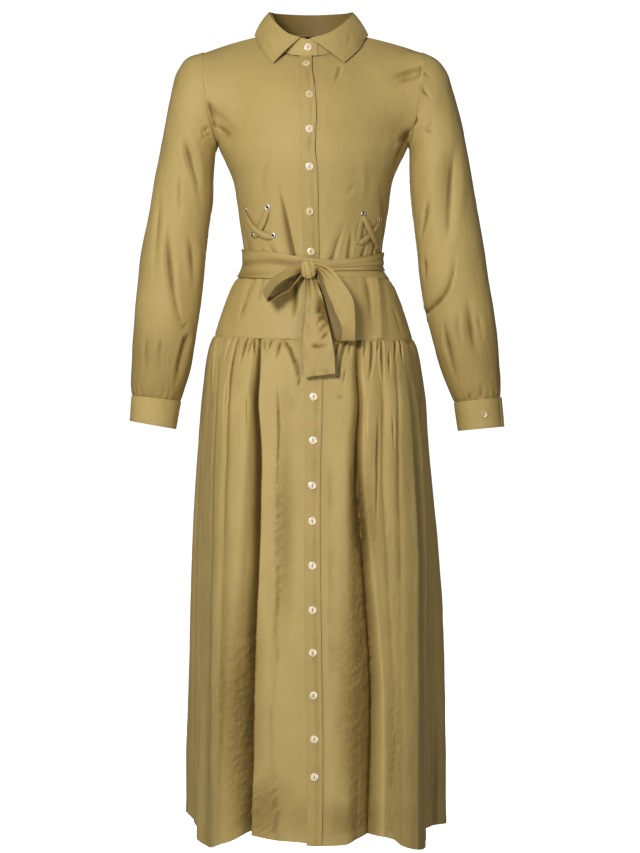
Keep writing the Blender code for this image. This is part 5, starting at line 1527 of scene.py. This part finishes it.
def makeBelt():
    turns = turned(360 * np.arange(belt["columns"]) / belt["columns"])[None, :]
    share = np.linspace(0, 1, belt["rows"])[:, None]
    high, low = follow(belt["line"], 1, turns), follow(belt["line"], 2, turns)
    base = bodyPoint(low + (high - low) * share, turns)
    out = base * np.array([1, 1.3, 0])
    front = np.exp(-(turns / 16.0) ** 2)
    lift = belt["lift"] + belt["wall"] + 1.9 * front
    grid = base + unit(out) * (lift * mm)[..., None]
    side = np.radians(turns)
    # folds that run into the knot, and the lower layer that shows under the upper one
    pinch = np.exp(-(turns / 40.0) ** 2)
    ripple = np.sin(share * 9.0 + turns * 0.05) * 1.1 * pinch + np.sin(share * 15 - side * 3) * 0.35
    layer = np.where(turns > 5, 1.4 * (1 - ease(0.28, 0.34, share)), 0) * ease(5, 20, turns)
    layer = layer * (1 - ease(120, 150, turns))
    grid = grid + facing(grid, True) * ((ripple - layer) * mm)[..., None]
    piece = shell("beltBand", grid, belt["wall"] * mm, closed=True, finish="belt",
                  marks=0.2)
    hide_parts("belt_band")
    print("belt made")


bow = dict(
    wall=0.9,
    # middle across, back and up, then half the width as across, back and up
    loopRight=[
        (-17, -122, -384.4, 1.3, 3, 5), (-36.5, -134, -390, 6.4, 12, 11), (-57, -142, -401, 5.1, 16, 12),
        (-72, -143, -417, -1, 17, 11), (-77, -139, -430, -3, 17, 7), (-70, -136, -434, -1, 17, 4.5),
        (-55, -132, -426, 0, 17, 4), (-37, -126, -416, 0, 13, 4), (-25, -119, -401, 0, 8, 4), (-16, -115, -390, 0, 4, 4),
    ],
    loopLeft=[
        (4.5, -124, -379, 3.9, 0, -5.8), (21, -134, -391, -5.1, 2, -8.9), (35, -144, -412, -14, 2, -4),
        (46, -151, -433.4, -18, 1, 0), (51.6, -155, -455, -15.6, 0, 1), (57, -155, -485, -10.5, 1, 3),
        (56, -146, -501, -12, 3, 0), (47, -135, -491, -16.5, 3, 0), (40, -130, -462, -14, 2, 0),
        (31, -127, -432, -12, 0, -1), (20, -122, -402, -9, 0, -3), (8, -115.5, -391, 0, 0, -6),
    ],
    tailOver=[
        (-3, -123.5, -401.2, -7, 0, 0), (2, -135, -425, -12, 0, 1), (5, -144, -458, -17, 1, 1),
        (7, -151, -490, -22, 2, 1), (9, -156, -520, -25, 2, 1), (11, -157, -556, -25, 2, -3),
    ],
    tailUnder=[
        (-6, -118, -401.2, -7, 0, 0), (-3, -127, -428, -10, 0, 0), (-4, -136, -458, -13, 0, 0),
        (-4, -143, -492, -15, 0, 0), (-3, -148, -524, -16, 0, 0), (-2, -150, -545, -16, 0, -1),
    ],
    knotCenter=(-7, -121, -385), knotSize=(12.5, 7.5, 14.5),
)


def strip(table, rows, columns, pleats, knotEnds, fade=26.0, depth=1.4):
    table = np.array(table, float) * mm
    keys = lengths(table[:, :3])
    line = pull(table, keys, np.linspace(0, keys[-1], rows))
    across = np.linspace(-1, 1, columns)[None, :, None]
    grid = line[:, None, :3] + line[:, None, 3:] * across
    run = lengths(line[:, :3]) / mm
    away = run if knotEnds == 1 else np.minimum(run, run[-1] - run)
    pleat = np.cos(across[..., 0] * math.pi * pleats + 0.4) * depth * np.exp(-(away / fade) ** 1.3)[:, None]
    return grid + facing(grid) * (pleat * mm)[..., None]


def makeBow():
    jobs = (
        ("loopRight", "beltLoopRight", "belt_loop_right", 141, 2, 3, (0.05, 0.14)),
        ("loopLeft", "beltLoopLeft", "belt_loop_left", 161, 2, 3, (0.05, 0.24)),
        ("tailOver", "beltTailOver", "belt_tail_over", 121, 1, 2, (0.05, 0.17)),
        ("tailUnder", "beltTailUnder", "belt_tail_under", 101, 1, 2, (0.032, 0.15)),
    )
    for key, name, node, rows, ends, pleats, flat in jobs:
        grid = strip(bow[key], rows, 33, pleats, ends)
        grid = softened(grid, 0.6, size=(16, 16, 30), shift=2)
        grid = creased(grid, creases.get(key, []))
        piece = shell(name, grid, bow["wall"] * mm, finish="belt", marks=0.3)
        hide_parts(node)
    print("bow made")


def makeKnot():
    # a pad of wrapped cloth with a strap drawn over it
    rows, columns = 49, 96
    middle, half = np.array(bow["knotCenter"]) * mm, np.array(bow["knotSize"]) * mm
    level = -np.cos(np.linspace(0.06, math.pi - 0.06, rows))[:, None]
    width = (1 - level**2) ** 0.26
    angle = 360 * np.arange(columns)[None, :] / columns
    x = power(cosine(angle), 2.7) * width
    y = power(sine(angle), 2.7) * width
    grid = middle + np.stack([x, y, level * np.ones_like(x)], -1) * half
    front = ease(0.1, -0.8, y)
    # a strap drawn down over folds that come in from both sides
    slope = x + 0.12 + 0.22 * level
    strap = 2.2 * (1 - ease(0.30, 0.44, np.abs(slope))) + 0.3 * np.sin(slope * 18)
    folds = 0.6 * np.sin(level * 5.5 + np.abs(x) * 4 + 0.6) + 0.25 * np.sin(level * 11 - x * 6)
    raised = (folds * ease(0.35, 0.5, np.abs(slope)) + strap) * front
    grid = grid + facing(grid, True) * (raised * mm)[..., None]
    bottom, top = grid[0].mean(axis=0), grid[-1].mean(axis=0)
    points = np.vstack([grid.reshape(-1, 3), bottom, top])
    faces = []
    for row in range(rows - 1):
        for column in range(columns):
            beside = (column + 1) % columns
            faces.append([row * columns + column, row * columns + beside, (row + 1) * columns + beside,
                          (row + 1) * columns + column])
    for column in range(columns):
        beside = (column + 1) % columns
        faces.append([rows * columns, beside, column])
        faces.append([rows * columns + 1, (rows - 1) * columns + column, (rows - 1) * columns + beside])
    mesh = bpy.data.meshes.new("beltKnot")
    mesh.from_pydata(points.tolist(), [], faces)
    flat = np.array([[p[0], p[2]] for p in points])
    loops = np.array([loop.vertex_index for loop in mesh.loops])
    mesh.uv_layers.new(name="weave").data.foreach_set("uv", flat[loops].astype(np.float32).ravel())
    mesh.attributes.new("crinkle", "FLOAT", "POINT").data.foreach_set("value", [0.3] * len(points))
    piece = finishMesh("beltKnot", mesh, "belt")
    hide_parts("belt_knot")


makeBelt()
makeBow()
makeKnot()


# ---- buttons and eyelets

button = dict(radius=6.3, thick=2.3, rim=1.1, dish=0.7, hole=0.95, holeGap=1.75, sides=40, sink=0.6)


def discFrame(node):
    # middle, across, up and out of a small round solid
    points = np.array([vertex.co for vertex in frame["nodes"][node].data.vertices])
    center = (points.min(axis=0) + points.max(axis=0)) / 2
    spread = points - points.mean(axis=0)
    out = np.linalg.svd(spread, full_matrices=False)[2][2]
    if out @ (center - np.array([0, 0.0, center[2]])) < 0:
        out = -out
    if abs(out[1]) > 0.5 and center[1] < -0.05 and out[1] > 0:
        out = -out
    side = unit(np.cross(np.array([0, 0, 1.0]), out))
    up = np.cross(out, side)
    back = ((points - center) @ out).min()
    return center + out * back, side, up, out


def select(mesh, test):
    for polygon in mesh.polygons:
        polygon.select = test(polygon)


def modelButton():
    r, thick = button["radius"] * mm, button["thick"] * mm
    bpy.ops.object.select_all(action="DESELECT")
    bpy.ops.mesh.primitive_cylinder_add(vertices=button["sides"], radius=r, depth=thick, location=(0, 0, thick / 2))
    item = bpy.context.object
    bpy.ops.object.transform_apply(location=True)
    select(item.data, lambda face: face.normal.z > 0.9)
    bpy.ops.object.mode_set(mode="EDIT")
    bpy.ops.mesh.select_mode(type="FACE")
    bpy.ops.mesh.inset(thickness=button["rim"] * mm)
    bpy.ops.mesh.inset(thickness=0.5 * mm)
    bpy.ops.transform.translate(value=(0, 0, -button["dish"] * mm))
    bpy.ops.object.mode_set(mode="OBJECT")
    bevel = item.modifiers.new("edge", "BEVEL")
    bevel.width = 0.35 * mm
    bevel.segments = 2
    bevel.limit_method = "ANGLE"
    bpy.ops.object.modifier_apply(modifier="edge")
    for side in (-1, 1):
        bpy.ops.mesh.primitive_cylinder_add(
            vertices=14, radius=button["hole"] * mm, depth=4 * thick,
            location=(0, side * button["holeGap"] * mm, thick / 2))
        drill = bpy.context.object
        bpy.ops.object.select_all(action="DESELECT")
        bpy.context.view_layer.objects.active = item
        item.select_set(True)
        hole = item.modifiers.new("hole", "BOOLEAN")
        hole.operation = "DIFFERENCE"
        hole.object = drill
        hole.solver = "EXACT"
        bpy.ops.object.modifier_apply(modifier="hole")
        bpy.data.objects.remove(drill, do_unlink=True)
    item.select_set(False)
    return item


def modelTie():
    # thread between the two holes
    length = button["holeGap"] * 2 * mm
    bpy.ops.object.select_all(action="DESELECT")
    bpy.ops.mesh.primitive_cylinder_add(vertices=10, radius=0.34 * mm, depth=length, rotation=(math.pi / 2, 0, 0),
                                        location=(0, 0, (button["thick"] - button["dish"] + 0.15) * mm))
    item = bpy.context.object
    bpy.ops.object.transform_apply(location=True, rotation=True)
    bpy.ops.object.mode_set(mode="EDIT")
    bpy.ops.mesh.select_all(action="SELECT")
    bpy.ops.mesh.subdivide(number_cuts=2)
    bpy.ops.object.mode_set(mode="OBJECT")
    for vertex in item.data.vertices:
        vertex.co.z -= 0.9 * mm * (abs(vertex.co.y) / (length / 2)) ** 3
    item.select_set(False)
    return item


def placeCopy(model, name, spot, finish, node=None, grow=1.0):
    middle, side, up, out = spot
    mesh = model.data.copy()
    mesh.name = name
    turn = Matrix([(side[0], up[0], out[0]), (side[1], up[1], out[1]), (side[2], up[2], out[2])]).to_4x4()
    mesh.transform(Matrix.Translation(Vector(middle)) @ turn @ Matrix.Scale(grow, 4))
    mesh.materials.clear()
    piece = finishMesh(name, mesh, finish)
    if node:
        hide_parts(node)
    return piece


def makeButtons():
    model, tie = modelButton(), modelTie()
    names = [f"button_{index:02d}" for index in range(1, 20)] + ["button_cuff_right", "button_cuff_left"]
    for name in names:
        middle, side, up, out = discFrame(name)
        spot = (middle - out * button["sink"] * mm, side, up, out)
        word = name.replace("button_", "").replace("cuff_", "cuff").replace("01", "stand")
        finish = "cuffShell" if "cuff" in word else "dyedShell" if word in ("02", "03", "06", "07") else "shell"
        placeCopy(model, "shirtButton_" + word, spot, finish, name)
        # the thread lies in the holes and takes the near-black finish, painted shade of the holes
        placeCopy(tie, "buttonThread_" + word, spot, "hole")
    for model in (model, tie):
        bpy.data.objects.remove(model, do_unlink=True)
    print("buttons made")


eyelet = dict(radius=4.6, ring=1.15, flat=0.6, hole=2.5)


def modelEyelet():
    bpy.ops.object.select_all(action="DESELECT")
    bpy.ops.mesh.primitive_torus_add(
        major_segments=32, minor_segments=12, major_radius=(eyelet["radius"] - eyelet["ring"]) * mm,
        minor_radius=eyelet["ring"] * mm)
    item = bpy.context.object
    item.scale = (1, 1, eyelet["flat"])
    bpy.ops.object.transform_apply(scale=True)
    item.select_set(False)
    return item


def modelBarrel():
    # painted shade: a near-black cup under the ring stands in for the shade down the eyelet's hole
    bpy.ops.object.select_all(action="DESELECT")
    bpy.ops.mesh.primitive_cylinder_add(vertices=24, radius=eyelet["hole"] * mm * 1.15, depth=0.6 * mm)
    item = bpy.context.object
    select(item.data, lambda face: face.normal.z > 0.9)
    bpy.ops.object.mode_set(mode="EDIT")
    bpy.ops.mesh.inset(thickness=0.4 * mm)
    bpy.ops.transform.translate(value=(0, 0, -0.35 * mm))
    bpy.ops.object.mode_set(mode="OBJECT")
    item.select_set(False)
    return item


def makeEyelets():
    model, barrel = modelEyelet(), modelBarrel()
    for side, number in product(("right", "left"), range(1, 5)):
        node = f"eyelet_{side}_{number}"
        middle, across, up, out = discFrame(node)
        spot = (middle + out * 0.5 * mm, across, up, out)
        placeCopy(model, f"eyeletRing_{side}_{number}", spot, "metal", node)
        placeCopy(barrel, f"eyeletHole_{side}_{number}", spot, "hole")
    for model in (model, barrel):
        bpy.data.objects.remove(model, do_unlink=True)
    print("eyelets made")


makeButtons()
makeEyelets()


# ---- lacing and label

lacing = dict(
    halfWidth=5.6, wall=0.8, roll=1.5,
    # name, node, first end, last end, sag across and up, lift
    rows=[
        ("laceRightUnder", "lace_right_under", (-73.5, -286), (-96.0, -330), (3, -3), 2.2),
        ("laceRightOver", "lace_right_over", (-108.0, -290), (-65.5, -331), (-3, -7), 5.0),
        ("laceLeftUnder", "lace_left_under", (107.5, -305), (73.5, -341), (2, -2), 2.2),
        ("laceLeftOver", "lace_left_over", (81.0, -296), (105.5, -350), (-1, -3), 5.0),
        ("laceLeftUpright", None, (80.0, -297), (73.0, -340), (-2, -1), 1.0),
    ],
)


def onBodice(across, up):
    grid = bodiceGrids["frontLeft" if across > 0 else "frontRight"]
    flat = grid.reshape(-1, 3)
    ways = facing(grid).reshape(-1, 3)
    away = (flat[:, 0] - across * mm) ** 2 + (flat[:, 2] - up * mm) ** 2
    near = np.argsort(away)[:6]
    weight = 1 / (away[near] + 1e-8)
    weight = weight / weight.sum()
    return (flat[near] * weight[:, None]).sum(axis=0), unit((ways[near] * weight[:, None]).sum(axis=0))


def makeLaces():
    for name, node, first, last, sag, lift in lacing["rows"]:
        t = np.linspace(0, 1, 41)
        bowed = 4 * t * (1 - t)
        spots = [onBodice(*(first[k] + (last[k] - first[k]) * a + sag[k] * b for k in (0, 1)))
                 for a, b in zip(t, bowed)]
        points, ways = np.array([s[0] for s in spots]), unit(eased([s[1] for s in spots], 6))
        points = eased(points, 4)
        rise = lift * np.sin(np.pi * t) ** 0.5 - 0.9 * (1 - ease(0, 0.1, t) * ease(0, 0.1, 1 - t)) + 1.0
        points = points + ways * (rise * mm)[:, None]
        side = unit(np.cross(ways, np.gradient(points, axis=0)))
        narrow = 0.6 + 0.4 * ease(0, 0.14, t) * ease(0, 0.14, 1 - t)
        across = np.linspace(1, -1, 9)[None, :, None]
        grid = points[:, None] + side[:, None] * across * (lacing["halfWidth"] * narrow * mm)[:, None, None]
        # a soft roll of cloth, rounded over
        rounded = lacing["roll"] * (1 - across[..., 0] ** 2)
        grid = grid + ways[:, None] * (rounded * mm)[..., None]
        # crinkle marks, heavier at the edges, which the shell also darkens as painted shade along them
        crinkleShade = 0.15 + 0.6 * across[..., 0] ** 4
        piece = shell(name, grid, lacing["wall"] * mm, finish="belt", marks=crinkleShade)
        if node:
            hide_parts(node)
    print("laces made")


def makeLabel():
    # plain tab inside the back neck
    wide, low, high = 9, 0.45, 0.88
    keys = lengths(halfBodice(1, True))[:, 0]
    rows = np.interp(8 + np.array([7 + low, 7 + high]), np.arange(17), keys) / keys[-1] * (backGrid.shape[0] - 1)
    patch = cut(backGrid, middleColumn, -wide, wide, 25)
    t = np.linspace(rows[0], rows[1], 17)
    base = np.array([patch[int(r)] * (1 - r % 1) + patch[min(int(r) + 1, len(patch) - 1)] * (r % 1)
                     for r in t])
    grid = base - facing(base) * 1.7 * mm
    piece = shell("neckLabel", grid[:, ::-1], 0.6 * mm, finish="label", slot="label_cloth")
    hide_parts("neck_label")


makeLaces()
makeLabel()


# ---- stitching on the panels

def makeStitching():
    lines = []
    for key in ("skirtRight", "skirtLeft", "skirtBack"):
        grid = skirtGrids[key]
        level = lengths(grid) / mm
        row = np.array([np.interp(12.0, level[:, c], np.arange(grid.shape[0])) for c in range(grid.shape[1])])
        lines.append(gridLine(grid, row, np.arange(grid.shape[1])))
    stitchRow("stitchingHem", lines)
    lines = []
    for key, grid in cuffGrids.items():
        last = grid.shape[1] - 1
        for row in (1.4, 22.6):
            lines.append(gridLine(grid, np.full(last - 4, row), np.linspace(2, last - 2, last - 4)))
        for column in (2.2, last - 2.2):
            lines.append(gridLine(grid, np.linspace(1.4, 22.6, 22), np.full(22, column)))
    stitchRow("stitchingCuffs", lines)
    print("stitching made")


makeStitching()


# ---- studio

studio = dict(
    cameraDistance=5.0, cameraAcross=0.0115, cameraHeight=-0.6377, frameHeight=1.4075, sensor=24.0,
    floor=-1.43, sides=64, reach=8.0, bend=1.5, tall=9.0, sky=0.10, glow=1.0,
    # place, aim, size, power
    lamps=dict(
        key=((-1.05, -2.90, 0.50), (0.0, 0.0, -0.45), 0.9, 82),
        fill=((1.4, -3.0, -1.10), (0.08, 0.0, -1.10), 1.5, 27),
        side=((-2.3, -1.3, -0.9), (-0.15, 0.0, -0.95), 1.2, 9),
        behind=((0.0, 3.4, 0.2), (0.0, 0.0, -0.6), 1.2, 70),
        top=((-0.1, -0.8, 2.2), (0.0, 0.0, -0.3), 1.6, 5),
    ),
)


def makeCamera():
    data = bpy.data.cameras.new("frontCamera")
    data.sensor_fit = "VERTICAL"
    data.sensor_height = studio["sensor"]
    data.lens = studio["sensor"] * studio["cameraDistance"] / studio["frameHeight"]
    item = bpy.data.objects.new("frontCamera", data)
    item.location = (studio["cameraAcross"], -studio["cameraDistance"], studio["cameraHeight"])
    item.rotation_euler = (math.pi / 2, 0, 0)
    bpy.context.scene.collection.objects.link(item)
    bpy.context.scene.camera = item


def makeLamps():
    for name, (place, aim, size, power) in studio["lamps"].items():
        data = bpy.data.lights.new(name, "AREA")
        data.shape = "DISK"
        data.size = size
        data.energy = power
        item = bpy.data.objects.new(name, data)
        item.location = place
        item.rotation_euler = (Vector(aim) - Vector(place)).to_track_quat("-Z", "Y").to_euler()
        bpy.context.scene.collection.objects.link(item)
    world = bpy.data.worlds.new("studioSky")
    world.use_nodes = True
    world.node_tree.nodes["Background"].inputs["Color"].default_value = (1.0, 1.0, 1.0, 1.0)
    world.node_tree.nodes["Background"].inputs["Strength"].default_value = studio["sky"]
    bpy.context.scene.world = world
    bpy.context.scene.view_settings.view_transform = "Standard"


def makeFloor():
    # a pale floor that curves up all round
    reach, bend, sides = studio["reach"], studio["bend"], studio["sides"]
    line = [(0.5, 0.0), (reach, 0.0)]
    for step in range(1, 13):
        angle = math.radians(90 * step / 12)
        line.append((reach + bend * math.sin(angle), bend * (1 - math.cos(angle))))
    line.append((reach + bend, studio["tall"]))
    ways = [(math.cos(2 * math.pi * k / sides), math.sin(2 * math.pi * k / sides)) for k in range(sides)]
    points = [(out * x, out * y, studio["floor"] + up) for out, up in line for x, y in ways]
    faces = [tuple(range(sides))]
    for level in range(len(line) - 1):
        low = level * sides
        for k in range(sides):
            beside = (k + 1) % sides
            faces.append((low + k, low + sides + k, low + sides + beside, low + beside))
    mesh = bpy.data.meshes.new("studioFloor")
    mesh.from_pydata(points, [], faces)
    mesh.polygons.foreach_set("use_smooth", [True] * len(faces))
    stops = [(0.3, (0.90, 0.90, 0.90)), (0.7, (0.94, 0.94, 0.94))]
    material, shader, *_ = speckled("paleFloor", stops, 0.9, Scale=3.0, Detail=3.0)
    shader.inputs["Emission Color"].default_value = (1, 1, 1, 1)
    shader.inputs["Emission Strength"].default_value = studio["glow"]
    mesh.materials.append(material)
    item = bpy.data.objects.new("studioFloor", mesh)
    bpy.context.scene.collection.objects.link(item)
    item.visible_diffuse = False
    item.visible_glossy = False
    item.visible_shadow = False


makeCamera()
makeLamps()
makeFloor()

print("scene ready")
